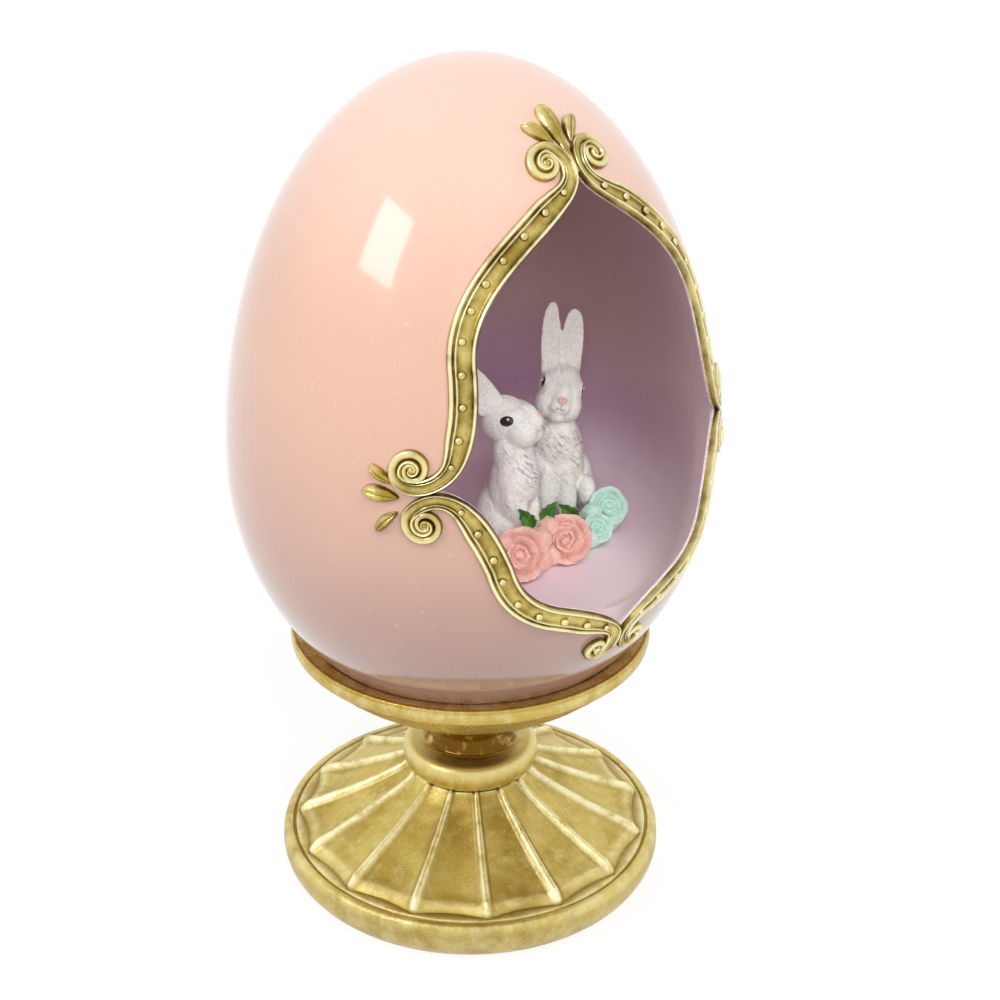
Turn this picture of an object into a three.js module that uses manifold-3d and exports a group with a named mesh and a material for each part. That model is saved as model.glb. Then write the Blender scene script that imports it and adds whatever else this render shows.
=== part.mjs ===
// Easter egg on a stand: a hollow resin egg with a scrolled gilt border round its opening, two rabbits
// and a bunch of roses on its floor, glued into a gilt cup on a turned spool and a fluted foot.
// Millimetres, +Z up, origin at the middle of the underside, opening towards -Y.
import * as THREE from 'three';
import { mergeVertices } from 'three/addons/utils/BufferGeometryUtils.js';
import Module from 'manifold-3d';

const wasm = await Module();
wasm.setup();

// Fits
const glueGap = 0.3;
const weldDistance = 1e-4;

// Foot
const footRadius = 40.5;
const footRestRadius = 36.6;
const footWaistHeight = 5.6;
const footRimHeight = 9;
const footTuckShare = 0.2;
const footGrooveRadius = 37.9;
const footGrooveWidth = 0.9;
const footGrooveDepth = 0.8;
const footHeight = 22;
const footTopRadius = 12.6;
const footRise = { outerShare: 0.72, outerUp: 4, innerShare: 1.35, innerDown: 4.5 };
const fluteCount = 15;
const fluteTurn = -29.6;
const fluteRidge = 1.1;
const fluteRidgeShare = 0.11;
const fluteDip = 0.5;
const fluteScallop = 1.7;
const fluteStep = 0.7;
const fluteFade = [0.5, 1, 1, 1, 0.3];

// Felt under the foot
const feltRadius = 33;
const feltThickness = 1.5;

// Spool
const spoolHeight = 16.5;
const spoolFootRadius = 11.6;
const spoolCollarRadius = 14.3;
const spoolCollarHeight = 6.4;
const spoolWaistRadius = 8.6;
const spoolTopRadius = 12.2;
const spoolBulge = { out: 0.6, rise: 1.4, tuck: 0.5 };
const spoolWaist = { ease: 0.6, rise: 4, flare: 0.2, flareDrop: 1.6 };
const spigotRadius = 5;
const spigotLength = 4;
const cupSpigotLength = 1.5;

// Cup
const cupFloor = 2.8;
const cupRimRise = 18.4;
const cupRimRadius = 36.9;
const cupBandHeight = 3.4;
const cupBandInset = 0.8;
const cupFlangeRadius = 13.2;
const cupLipDrop = 1.5;
const cupLipWidth = 1.2;
const cupBelly = { share: 0.57, rise: 2.4 };
const cupShoulder = { share: 0.81, drop: 7 };
const cupBandBulge = { out: 0.5, rise: 0.6, round: 0.7, tuck: 0.1 };

// Egg
const eggRadius = 48;
const eggUpperHeight = 78;
const eggLowerHeight = 53.3;
const eggWall = 4;
const floorDrop = 20.4;
const floorCove = 5;
const cutBackShare = 0.4;

// Opening, half widths and heights from the egg's widest level, with the handles of its curves.
// Its top and bottom cusps lean to the right of the middle, as on the hand-finished original.
const topCusp = { x: 0, z: 62.3, lean: 1.6, after: { x: 1.5, z: -5.3 } };
const shoulder = { x: 24.4, z: 33.5, before: { x: -0.9, z: 17 }, after: { x: 0.8, z: -8 } };
const sideCusp = { x: 31.3, z: 13.2, before: { x: -4.8, z: 3.8 }, after: { x: -4.8, z: -1.2 } };
const hip = { x: 22, z: -1, before: { x: 2.2, z: 6.5 }, after: { x: -1.2, z: -5.3 } };
const knee = { x: 13, z: -11.5, before: { x: 5.3, z: 2 }, after: { x: -4.6, z: -1.8 } };
const bottomCusp = { x: 0, z: -20.1, lean: 2.8, before: { x: 3.2, z: 4.2 } };

// Scrolled border
const trimWidth = 5;
const trimHeight = 1.9;
const trimTrough = 0.9;
const trimSetback = 0.15;
const trimTaper = 10;
const bandStep = 3.4;
const trimTipHeight = 1.2;
const trimEndShare = 0.85;
const trimLeadShare = 0.4;
const trimShoulder = 0.82;
const voluteRadius = 5;
const voluteTurns = 1.6;
const voluteEye = 0.85;
const whorlStartShare = 0.56;
const whorlNextShare = 0.34;
const voluteReach = { top: 3.9, side: 5, bottom: 3.4 };
const voluteBoss = 0.9;
const beadRadius = 0.75;
const upperBeads = 11;
const lowerBeads = 9;
const beadInset = 0.8;

// Leaf sprays beyond the scrolls
const leafHeight = 1.3;
const leafFan = 42;
const leafEdge = 0.25;
const leafTip = 0.08;
const topSpray = { start: 7.4, middle: 9.4, side: 6, width: 2.7, aside: 2.9, ahead: 1.2 };
const sideSpray = { start: 9.2, middle: 6.6, side: 5, width: 2.5, aside: 3, ahead: 0.6 };

// Rabbits, placed on the floor, angles in degrees from +X
const tallRabbit = {
  x: 20.5, y: -3, bodyYaw: -118, headYaw: -125,
  bodyDepth: 15, bodyWidth: 15, bodyHeight: 25,
  headForward: 1.6, headUp: 28.4, headLength: 12.4, headWidth: 10.2, headHeight: 11.6, muzzleDrop: 0.16,
  earLength: 15.4, earWidth: 4.5, earThick: 2, earSplay: 0, earTurn: 0, earLean: 4,
};
const smallRabbit = {
  x: 3.4, y: -9.1, bodyYaw: -62, headYaw: -36,
  bodyDepth: 12, bodyWidth: 12.4, bodyHeight: 23.5,
  headForward: 0.8, headUp: 27.6, headLength: 11.4, headWidth: 9.2, headHeight: 10.2, muzzleDrop: 0.02,
  earLength: 12.5, earWidth: 5.2, earThick: 1.9, earSplay: 9, earTurn: 55, earLean: 38,
};

// Rounded masses of a rabbit: middle and half size as shares of its body or of its head
const trunkMasses = [
  { at: [-0.06, 0, 0.45], half: [0.48, 0.47, 0.5], sides: 11 },
  { at: [0.14, 0, 0.66], half: [0.36, 0.4, 0.36], sides: 9 },
  { at: [-0.5, 0, 0.2], half: [0.15, 0.15, 0.09], sides: 6 },
];
const limbMasses = [
  { at: [0.02, 0.33, 0.24], half: [0.42, 0.22, 0.26], sides: 8 },
  { at: [0.34, 0.32, 0.07], half: [0.28, 0.13, 0.08], sides: 6 },
  { at: [0.38, 0.15, 0.3], half: [0.13, 0.13, 0.33], sides: 6 },
];
const neckMass = { at: [0, 0, 0.88], half: [0.28, 0.3, 0.2], sides: 7 };
const skullMass = { at: [0, 0, 0], half: [0.5, 0.5, 0.5], sides: 10 };
const muzzleMass = { at: [0.33, 0, 0], half: [0.25, 0.3, 0.29], sides: 7 };
const earRoot = [-0.14, 0.22, 0.3];

// Roses and their leaves
const rosePetalRelief = 0.09;
const rosePetals = 3;
const roseTilt = 38;
const roseWind = 4;
const roseSeatShare = 0.46;
const roses = [
  { name: 'rose_pink_left', x: -1.2, y: -17.4, radius: 5.2, height: 10.4, colour: 'pink' },
  { name: 'rose_pink_right', x: 9.2, y: -18.2, radius: 5, height: 10.4, colour: 'pink' },
  { name: 'rose_mint_front', x: 18.6, y: -17.2, radius: 4.2, height: 8.6, colour: 'mint' },
  { name: 'rose_mint_back', x: 25.2, y: -12.8, radius: 4.5, height: 11.6, colour: 'mint' },
];
const greenLeaf = { length: 6.4, width: 3.8, thick: 1.2, lean: 24 };
const greenLeaves = [
  { name: 'green_leaf_left', x: 3.2, y: -15.4, up: 8.2, yaw: -110 },
  { name: 'green_leaf_middle', x: 9, y: -14, up: 9, yaw: -80 },
  { name: 'green_leaf_right', x: 13.4, y: -14.4, up: 8.4, yaw: -60 },
];

// Heights that follow from the stack of pieces
const spoolBase = footHeight + glueGap;
const cupBase = spoolBase + spoolHeight + glueGap;
const eggBottom = cupBase + cupFloor + glueGap;
const eggMid = eggBottom + eggLowerHeight;
const floorLevel = eggMid - floorDrop;
const groundLevel = floorLevel + glueGap;

// Finishes
const satinGold = { color: 0xb8963e, roughness: 0.42, metalness: 1 };
const brightGold = { color: 0xc9b06a, roughness: 0.2, metalness: 1 };
const glossPink = { color: 0xe9b9a6, roughness: 0.16, metalness: 0 };
const whiteFur = { color: 0xd9d6d4, roughness: 0.6, metalness: 0 };
const greenPaint = { color: 0x2f6b35, roughness: 0.5, metalness: 0 };
const feltCloth = { color: 0x4a3a2c, roughness: 0.95, metalness: 0 };
const rosePaint = {
  pink: { color: 0xe9aaa0, roughness: 0.45, metalness: 0 },
  mint: { color: 0x9bd8c4, roughness: 0.45, metalness: 0 },
};

const up = new THREE.Vector3(0, 0, 1);
const radians = THREE.MathUtils.degToRad;
const egg = new THREE.Group();

function addPiece(name, geometry, finish) {
  const mesh = new THREE.Mesh(geometry, new THREE.MeshStandardMaterial(finish));
  mesh.name = name;
  egg.add(mesh);
}

// Position-only mesh with shared corners and no collapsed triangles.
function weld(geometry) {
  const bare = geometry.clone();
  bare.deleteAttribute('normal');
  bare.deleteAttribute('uv');
  const welded = mergeVertices(bare, weldDistance);
  const old = welded.index.array;
  const kept = [];
  for (let i = 0; i < old.length; i += 3) {
    const [a, b, c] = [old[i], old[i + 1], old[i + 2]];
    if (a !== b && b !== c && c !== a) kept.push(a, b, c);
  }
  welded.setIndex(kept);
  return welded;
}

function enclosedVolume(geometry) {
  const place = geometry.attributes.position;
  const order = geometry.index.array;
  const [a, b, c] = [new THREE.Vector3(), new THREE.Vector3(), new THREE.Vector3()];
  let volume = 0;
  for (let i = 0; i < order.length; i += 3) {
    a.fromBufferAttribute(place, order[i]);
    b.fromBufferAttribute(place, order[i + 1]);
    c.fromBufferAttribute(place, order[i + 2]);
    volume += a.dot(b.cross(c)) / 6;
  }
  return volume;
}

// Welded mesh whose faces point out.
function closed(geometry) {
  const welded = weld(geometry);
  if (enclosedVolume(welded) < 0) {
    welded.setIndex(Array.from(welded.index.array).reverse());
  }
  return welded;
}

function solid(geometry) {
  const mesh = closed(geometry);
  return new wasm.Manifold(new wasm.Mesh({
    numProp: 3,
    vertProperties: new Float32Array(mesh.attributes.position.array),
    triVerts: new Uint32Array(mesh.index.array),
  }));
}

function geometryOf(body) {
  const mesh = body.getMesh();
  const geometry = new THREE.BufferGeometry();
  geometry.setAttribute('position', new THREE.Float32BufferAttribute(mesh.vertProperties, 3));
  geometry.setIndex(Array.from(mesh.triVerts));
  geometry.computeVertexNormals();
  return geometry;
}

function union(bodies) {
  return bodies.reduce((whole, body) => whole.add(body));
}

function largest(body) {
  return body.decompose().reduce((best, bit) => (bit.volume() > best.volume() ? bit : best));
}

// Revolves a profile of (radius, height) points about the vertical axis.
function revolve(points, segments) {
  return new THREE.LatheGeometry(points, segments).rotateX(Math.PI / 2);
}

// Skin through rings of equal count, with flat ends cut to the outline of the section.
function loft(rings, section) {
  const count = section.length;
  const corners = rings.flat();
  const order = [];
  for (let r = 0; r + 1 < rings.length; r++) {
    for (let k = 0; k < count; k++) {
      const near = r * count + k;
      const next = r * count + ((k + 1) % count);
      order.push(near, next, next + count, near, next + count, near + count);
    }
  }
  const last = (rings.length - 1) * count;
  const ahead = THREE.ShapeUtils.isClockWise(section) ? -1 : 1;
  for (const face of THREE.ShapeUtils.triangulateShape(section, [])) {
    const turned = THREE.ShapeUtils.isClockWise(face.map((k) => section[k])) ? -1 : 1;
    const [a, b, c] = turned === ahead ? face : face.reverse();
    order.push(c, b, a, last + a, last + b, last + c);
  }
  const geometry = new THREE.BufferGeometry().setFromPoints(corners);
  geometry.setIndex(order);
  return geometry;
}

// Outline of a circle with unit radius, the section of round lofts.
function roundSection(sides) {
  return Array.from({ length: sides }, (_, k) => {
    const turn = (k / sides) * 2 * Math.PI;
    return new THREE.Vector2(Math.cos(turn), Math.sin(turn));
  });
}

// Points of the egg's surface, grown or shrunk by an even amount
function eggHalf(z, grow) {
  return (z > eggMid ? eggUpperHeight : eggLowerHeight) + grow;
}

function eggRadiusAt(z, grow = 0) {
  const level = (z - eggMid) / eggHalf(z, grow);
  return (eggRadius + grow) * Math.sqrt(1 - level * level);
}

function eggProfile(fromAngle, toAngle, steps, grow) {
  return Array.from({ length: steps + 1 }, (_, k) => {
    const angle = radians(fromAngle + ((toAngle - fromAngle) * k) / steps);
    const height = angle > 0 ? eggUpperHeight : eggLowerHeight;
    const radius = Math.abs(angle) === Math.PI / 2 ? 0 : (eggRadius + grow) * Math.cos(angle);
    return new THREE.Vector2(radius, eggMid + (height + grow) * Math.sin(angle));
  });
}

function eggNormal(point) {
  const half = eggHalf(point.z, 0);
  const flat = 1 / (eggRadius * eggRadius);
  return new THREE.Vector3(point.x * flat, point.y * flat, (point.z - eggMid) / (half * half)).normalize();
}

// The point of the surface in line with the egg's middle, lifted along the normal.
function onEgg(point, lift = 0) {
  const middle = new THREE.Vector3(0, 0, eggMid);
  const away = point.clone().sub(middle);
  const flat = (away.x * away.x + away.y * away.y) / (eggRadius * eggRadius);
  const tall = (away.z * away.z) / eggHalf(point.z, 0) ** 2;
  const hit = middle.addScaledVector(away, 1 / Math.sqrt(flat + tall));
  return hit.addScaledVector(eggNormal(hit), lift);
}

// The point of the egg's front seen at (x, z) from straight ahead.
function onFront(x, z) {
  const radius = eggRadiusAt(z);
  return new THREE.Vector3(x, -Math.sqrt(radius * radius - x * x), z);
}

// Foot: a revolved profile whose upper face is drawn into scooped panels between narrow ridges
function footGeometry() {
  const row = (radius, height, flute = 0, scallop = 0) => ({ radius, height, flute, scallop });
  const socketRadius = spigotRadius + glueGap;
  const socketFloor = footHeight - spigotLength - glueGap;
  const recess = feltThickness + glueGap;
  const recessRadius = feltRadius + glueGap;
  const panelEnd = footGrooveRadius - footGrooveWidth;
  const rise = new THREE.CubicBezierCurve(
    new THREE.Vector2(panelEnd, footRimHeight + fluteStep),
    new THREE.Vector2(footGrooveRadius * footRise.outerShare, footRimHeight + footRise.outerUp),
    new THREE.Vector2(footTopRadius * footRise.innerShare, footHeight - footRise.innerDown),
    new THREE.Vector2(footTopRadius, footHeight),
  );
  const rim = new THREE.Path();
  rim.moveTo(footRestRadius, 0);
  rim.quadraticCurveTo(footRadius, footWaistHeight * footTuckShare, footRadius, footWaistHeight);
  rim.quadraticCurveTo(footRadius, footRimHeight, footGrooveRadius + footGrooveWidth, footRimHeight);
  const fluted = rise.getPoints(fluteFade.length - 1)
    .map((p, k) => row(p.x, p.y, fluteFade[k], k === 0 ? 1 : 0));
  const rows = [
    row(0, recess), row(recessRadius, recess), row(recessRadius, 0),
    ...rim.getPoints(2).map((p) => row(p.x, p.y)),
    row(footGrooveRadius, footRimHeight - footGrooveDepth),
    row(panelEnd, footRimHeight, 0, 1),
    ...fluted,
    row(socketRadius, footHeight),
    row(socketRadius, socketFloor), row(0, socketFloor),
  ];
  const phases = [0, fluteRidgeShare, 0.5, 1 - fluteRidgeShare];
  const lift = [fluteRidge, 0, -fluteDip, 0];
  const points = rows.map((r) => new THREE.Vector2(r.radius, r.height));
  const geometry = new THREE.LatheGeometry(points, fluteCount * phases.length);
  const place = geometry.attributes.position;
  for (let i = 0; i < place.count; i++) {
    const { radius, height, flute, scallop } = rows[i % rows.length];
    const step = Math.floor(i / rows.length);
    const part = step % phases.length;
    const turn = (Math.floor(step / phases.length) % fluteCount) + phases[part];
    const azimuth = radians(fluteTurn) + (turn / fluteCount) * 2 * Math.PI;
    const inner = radius - scallop * fluteScallop * Math.sin(Math.PI * phases[part]);
    place.setXYZ(i, inner * Math.sin(azimuth), height + flute * lift[part], inner * Math.cos(azimuth));
  }
  return closed(geometry.rotateX(Math.PI / 2));
}

function feltGeometry() {
  return closed(new THREE.CylinderGeometry(feltRadius, feltRadius, feltThickness, 30)
    .rotateX(Math.PI / 2).translate(0, 0, feltThickness / 2));
}

// Spool: round collar, hollow waist and flared top, with a spigot into the foot and one into the cup
function spoolGeometry() {
  const top = spoolBase + spoolHeight;
  const collarTop = spoolBase + spoolCollarHeight;
  const profile = new THREE.Path();
  profile.moveTo(0, spoolBase - spigotLength);
  profile.lineTo(spigotRadius, spoolBase - spigotLength);
  profile.lineTo(spigotRadius, spoolBase);
  profile.lineTo(spoolFootRadius, spoolBase);
  profile.quadraticCurveTo(
    spoolCollarRadius + spoolBulge.out, spoolBase + spoolBulge.rise,
    spoolCollarRadius - spoolBulge.tuck, collarTop,
  );
  profile.quadraticCurveTo(
    spoolWaistRadius + spoolWaist.ease, collarTop + spoolWaist.ease,
    spoolWaistRadius, collarTop + spoolWaist.rise,
  );
  profile.quadraticCurveTo(
    spoolWaistRadius + spoolWaist.flare, top - spoolWaist.flareDrop, spoolTopRadius, top,
  );
  profile.lineTo(spigotRadius, top);
  profile.lineTo(spigotRadius, top + cupSpigotLength);
  profile.lineTo(0, top + cupSpigotLength);
  return closed(revolve(profile.getPoints(3), 26));
}

// Cup: a cast dish with a banded rim, hollowed to the egg it holds
function cupGeometry() {
  const rim = cupBase + cupRimRise;
  const lipLevel = rim - cupLipDrop;
  const seatAngle = -THREE.MathUtils.radToDeg(
    Math.asin((eggMid - lipLevel) / (eggLowerHeight + glueGap)),
  );
  const socketRadius = spigotRadius + glueGap;
  const bandFoot = rim - cupBandHeight;
  const outside = new THREE.Path();
  outside.moveTo(0, cupBase + cupSpigotLength);
  outside.lineTo(socketRadius, cupBase + cupSpigotLength);
  outside.lineTo(socketRadius, cupBase);
  outside.lineTo(cupFlangeRadius, cupBase);
  outside.bezierCurveTo(
    cupRimRadius * cupBelly.share, cupBase + cupBelly.rise,
    cupRimRadius * cupShoulder.share, bandFoot - cupShoulder.drop,
    cupRimRadius - cupBandInset, bandFoot,
  );
  outside.quadraticCurveTo(
    cupRimRadius + cupBandBulge.out, bandFoot + cupBandBulge.rise,
    cupRimRadius, rim - cupBandBulge.round,
  );
  outside.quadraticCurveTo(
    cupRimRadius - cupBandBulge.tuck, rim, cupRimRadius - cupLipWidth, rim - 2 * cupBandBulge.tuck,
  );
  const seat = eggProfile(seatAngle, -90, 5, glueGap);
  return closed(revolve([...outside.getPoints(3), ...seat], 36));
}

// A run of the opening's right half through the given spots
function openingRun(spots) {
  const at = (spot, handle = { x: 0, z: 0 }) => new THREE.Vector2(
    spot.x + handle.x, eggMid + spot.z + handle.z,
  );
  const path = new THREE.CurvePath();
  for (let k = 0; k + 1 < spots.length; k++) {
    const [from, to] = [spots[k], spots[k + 1]];
    path.add(new THREE.CubicBezierCurve(at(from), at(from, from.after), at(to, to.before), at(to)));
  }
  return path;
}

const opening = {
  upper: openingRun([topCusp, shoulder, sideCusp]),
  lower: openingRun([sideCusp, hip, knee, bottomCusp]),
};

// A spot of the right half (1) or of the left (-1) on the egg, with the lean of the cusp that it runs to
function openingSpot(p, side) {
  const { lean } = p.y > eggMid + sideCusp.z ? topCusp : bottomCusp;
  return new THREE.Vector2(side * p.x + lean * (1 - p.x / sideCusp.x), p.y);
}

function onOpening(p, side) {
  const spot = openingSpot(p, side);
  return onFront(spot.x, spot.y);
}

// Shell: the egg less its hollow, which has a flat floor with a cove, and less the opening
function shellGeometry() {
  const outer = solid(revolve(eggProfile(-90, 90, 20, 0), 36));
  const wallRadius = eggRadiusAt(floorLevel + floorCove, -eggWall);
  const coveRadius = wallRadius - floorCove;
  const coveTop = floorLevel + floorCove - eggMid;
  const startAngle = THREE.MathUtils.radToDeg(Math.asin(coveTop / (eggLowerHeight - eggWall)));
  const cove = [30, 60].map((turn) => new THREE.Vector2(
    coveRadius + floorCove * Math.sin(radians(turn)),
    floorLevel + floorCove * (1 - Math.cos(radians(turn))),
  ));
  const hollow = solid(revolve([
    new THREE.Vector2(0, floorLevel), new THREE.Vector2(coveRadius, floorLevel), ...cove,
    ...eggProfile(startAngle, 90, 10, -eggWall),
  ], 28));
  const half = [...opening.upper.getPoints(7), ...opening.lower.getPoints(5).slice(1)];
  const right = half.map((p) => openingSpot(p, 1));
  const left = half.slice(1, -1).reverse().map((p) => openingSpot(p, -1));
  const cut = new THREE.ExtrudeGeometry(new THREE.Shape([...right, ...left]), {
    depth: eggRadius, bevelEnabled: false,
  }).rotateX(Math.PI / 2).translate(0, -eggRadius * cutBackShare, 0);
  return geometryOf(outer.subtract(hollow).subtract(solid(cut)));
}

// Frame on the egg at a cusp: the way out along the surface and the way across it
function cuspFrame(name, side) {
  const spots = {
    top: { cusp: topCusp, along: up },
    bottom: { cusp: bottomCusp, along: up.clone().negate() },
    side: { cusp: sideCusp, along: new THREE.Vector3(side, 0, 0) },
  };
  const { cusp, along: outward } = spots[name];
  const point = onOpening(new THREE.Vector2(cusp.x, eggMid + cusp.z), side);
  const normal = eggNormal(point);
  const along = outward.clone().addScaledVector(normal, -outward.dot(normal)).normalize();
  const across = name === 'side' ? up.clone() : new THREE.Vector3(1, 0, 0);
  across.addScaledVector(normal, -across.dot(normal));
  across.addScaledVector(along, -across.dot(along)).normalize();
  const spread = (ahead, aside) => onEgg(
    point.clone().addScaledVector(along, ahead).addScaledVector(across, aside),
  );
  return { name, point, along, across, spread };
}

// Whorls are spaced so that the band never meets itself
const whorlPitch = (voluteRadius - voluteEye) / (voluteTurns + whorlStartShare);
const whorlStart = whorlPitch * whorlStartShare;
const whorlTip = Math.max(0.25, whorlStart - (whorlStart - whorlPitch * whorlNextShare) * voluteTurns);
const voluteAside = voluteRadius + glueGap / 2;
const trimEndHeight = trimHeight * trimEndShare;

// Spiral of a volute beside the axis of a cusp, from where the band arrives to the eye.
function voluteStops({ frame, sign }) {
  const steps = Math.round(voluteTurns * 10);
  const stops = [];
  for (let k = 0; k <= steps; k++) {
    const share = k / steps;
    const turn = share * voluteTurns * 2 * Math.PI;
    const radius = voluteRadius - whorlStart - whorlPitch * voluteTurns * share;
    const ahead = voluteReach[frame.name] + radius * Math.sin(turn);
    const aside = sign * (voluteAside - radius * Math.cos(turn));
    stops.push({
      point: frame.spread(ahead, aside),
      half: THREE.MathUtils.lerp(whorlStart, whorlTip, share),
      height: THREE.MathUtils.lerp(trimEndHeight, trimTipHeight, share),
    });
  }
  return stops;
}

// Middle line of a band beside one half of the opening, tapering towards both cusps.
function bandStops(curve, side) {
  const length = curve.getLength();
  const count = Math.round(length / bandStep);
  const spots = curve.getSpacedPoints(count).map((p) => onOpening(p, side));
  const inside = onFront(0, eggMid + sideCusp.z);
  const stops = [];
  for (let k = 1; k < count; k++) {
    const point = spots[k];
    const normal = eggNormal(point);
    const run = spots[k + 1].clone().sub(spots[k - 1]).normalize();
    const out = new THREE.Vector3().crossVectors(run, normal).normalize();
    if (out.dot(point.clone().sub(inside)) < 0) out.negate();
    const toEnd = (Math.min(k, count - k) * length) / count;
    const ease = THREE.MathUtils.smoothstep(toEnd, 0, trimTaper);
    const half = THREE.MathUtils.lerp(whorlStart, trimWidth / 2, ease);
    stops.push({
      point: onEgg(point.clone().addScaledVector(out, half + trimSetback)),
      half,
      height: THREE.MathUtils.lerp(trimEndHeight, trimHeight, ease),
    });
  }
  return stops;
}

// Straight lead between the band and its volute, beside the axis of the cusp.
function leadStop({ frame, sign }) {
  const half = whorlStart;
  return {
    point: frame.spread(voluteReach[frame.name] * trimLeadShare, sign * (half + glueGap / 2)),
    half,
    height: trimEndHeight,
  };
}

const trimSection = [
  new THREE.Vector2(-1, 0),
  new THREE.Vector2(-trimShoulder, 1),
  new THREE.Vector2(0, 1 - trimTrough / trimHeight),
  new THREE.Vector2(trimShoulder, 1),
  new THREE.Vector2(1, 0),
];

function bandGeometry(stops) {
  const rings = stops.map((stop, k) => {
    const before = stops[Math.max(k - 1, 0)].point;
    const after = stops[Math.min(k + 1, stops.length - 1)].point;
    const normal = eggNormal(stop.point);
    const across = new THREE.Vector3().crossVectors(normal, after.clone().sub(before)).normalize();
    return trimSection.map((corner) => stop.point.clone()
      .addScaledVector(across, corner.x * stop.half)
      .addScaledVector(normal, glueGap + corner.y * stop.height));
  });
  return loft(rings, trimSection);
}

function discOnEgg(frame, sign, radius, low, high) {
  const section = roundSection(18);
  const ring = (lift) => section.map((corner) => {
    const ahead = voluteReach[frame.name] + radius * corner.y;
    const spot = frame.spread(ahead, sign * voluteAside + radius * corner.x);
    return spot.addScaledVector(eggNormal(spot), lift);
  });
  return solid(loft([ring(low), ring(high)], section));
}

function ballAt(point, radius, across, down) {
  return solid(new THREE.SphereGeometry(radius, across, down).translate(point.x, point.y, point.z));
}

function lifted(point, lift) {
  return point.clone().addScaledVector(eggNormal(point), lift);
}

// One strip of the border: beaded channel with a volute at each end
function trimGeometry({ curve, side, ends, beads }) {
  const [start, end] = ends;
  const band = bandStops(curve, side);
  const stops = [
    ...voluteStops(start).reverse(), leadStop(start), ...band, leadStop(end), ...voluteStops(end),
  ];
  const bodies = [solid(bandGeometry(stops))];
  for (const { frame, sign } of ends) {
    const eye = frame.spread(voluteReach[frame.name], sign * voluteAside);
    bodies.push(ballAt(lifted(eye, glueGap + voluteBoss), voluteBoss, 6, 3));
  }
  const beadLine = new THREE.CatmullRomCurve3(band.map((stop) => stop.point));
  for (let k = 0; k < beads; k++) {
    const spot = onEgg(beadLine.getPointAt((k + beadInset) / (beads + 2 * beadInset - 1)));
    bodies.push(ballAt(lifted(spot, glueGap + trimHeight - trimTrough), beadRadius, 5, 3));
  }
  return geometryOf(union(bodies));
}

// Leaf lying on the egg: pointed ends, a keel along the middle
function eggLeaf(base, direction, length, width) {
  const section = [
    new THREE.Vector2(-1, leafEdge), new THREE.Vector2(0, 0),
    new THREE.Vector2(1, leafEdge), new THREE.Vector2(0, 1),
  ];
  const rings = [];
  const steps = 6;
  for (let k = 0; k <= steps; k++) {
    const share = k / steps;
    const swell = Math.max(leafTip, Math.sin(Math.PI * share ** 0.85));
    const spot = onEgg(base.clone().addScaledVector(direction, length * share));
    const normal = eggNormal(spot);
    const across = new THREE.Vector3().crossVectors(normal, direction).normalize();
    rings.push(section.map((corner) => spot.clone()
      .addScaledVector(across, (corner.x * swell * width) / 2)
      .addScaledVector(normal, glueGap + corner.y * swell * leafHeight)));
  }
  return solid(loft(rings, section));
}

// Three leaves fanning out beyond a pair of volutes, cut clear of them
function addSpray(frame, sizes, names) {
  const keepOut = voluteRadius + glueGap;
  const scrolls = [-1, 1].map((sign) => discOnEgg(frame, sign, keepOut, -eggWall, eggWall));
  const normal = eggNormal(frame.point);
  for (const fan of [-1, 0, 1]) {
    const base = frame.spread(sizes.start + Math.abs(fan) * sizes.ahead, fan * sizes.aside);
    const hand = new THREE.Vector3().crossVectors(frame.along, frame.across).dot(normal) > 0 ? 1 : -1;
    const direction = frame.along.clone().applyAxisAngle(normal, hand * fan * radians(leafFan));
    const blade = eggLeaf(base, direction, fan === 0 ? sizes.middle : sizes.side, sizes.width);
    const cut = scrolls.reduce((leaf, scroll) => leaf.subtract(scroll), blade);
    addPiece(names[fan + 1], geometryOf(largest(cut)), brightGold);
  }
}

// Rounded mass of a rabbit, sized by the body or head it belongs to
function mass({ at, half, sides }, size, hand, grow) {
  return new THREE.SphereGeometry(1, sides, Math.floor(sides / 2) + 1)
    .rotateX(Math.PI / 2)
    .scale(...half.map((share, k) => share * size[k] + grow))
    .translate(at[0] * size[0], hand * at[1] * size[1], at[2] * size[2]);
}

// Ear: a long leaf with a flat inner face, leaning back from the crown
function earGeometry(rabbit, hand, grow) {
  const section = roundSection(6);
  const steps = 5;
  const rings = [];
  for (let k = 0; k <= steps; k++) {
    const share = Math.sin((k / steps) * (Math.PI / 2));
    const swell = (0.6 + 0.4 * Math.sin(Math.PI * share)) * Math.sqrt(1 - 0.97 * share ** 4);
    rings.push(section.map((corner) => new THREE.Vector3(
      corner.x * ((rabbit.earThick / 2) * swell + grow),
      corner.y * ((rabbit.earWidth / 2) * swell + grow),
      (rabbit.earLength + grow) * share,
    )));
  }
  return loft(rings, section)
    .rotateZ(hand * radians(rabbit.earTurn))
    .rotateX(-hand * radians(rabbit.earSplay))
    .rotateY(-radians(rabbit.earLean))
    .translate(
      rabbit.headLength * earRoot[0], hand * rabbit.headWidth * earRoot[1], rabbit.headHeight * earRoot[2],
    );
}

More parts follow.
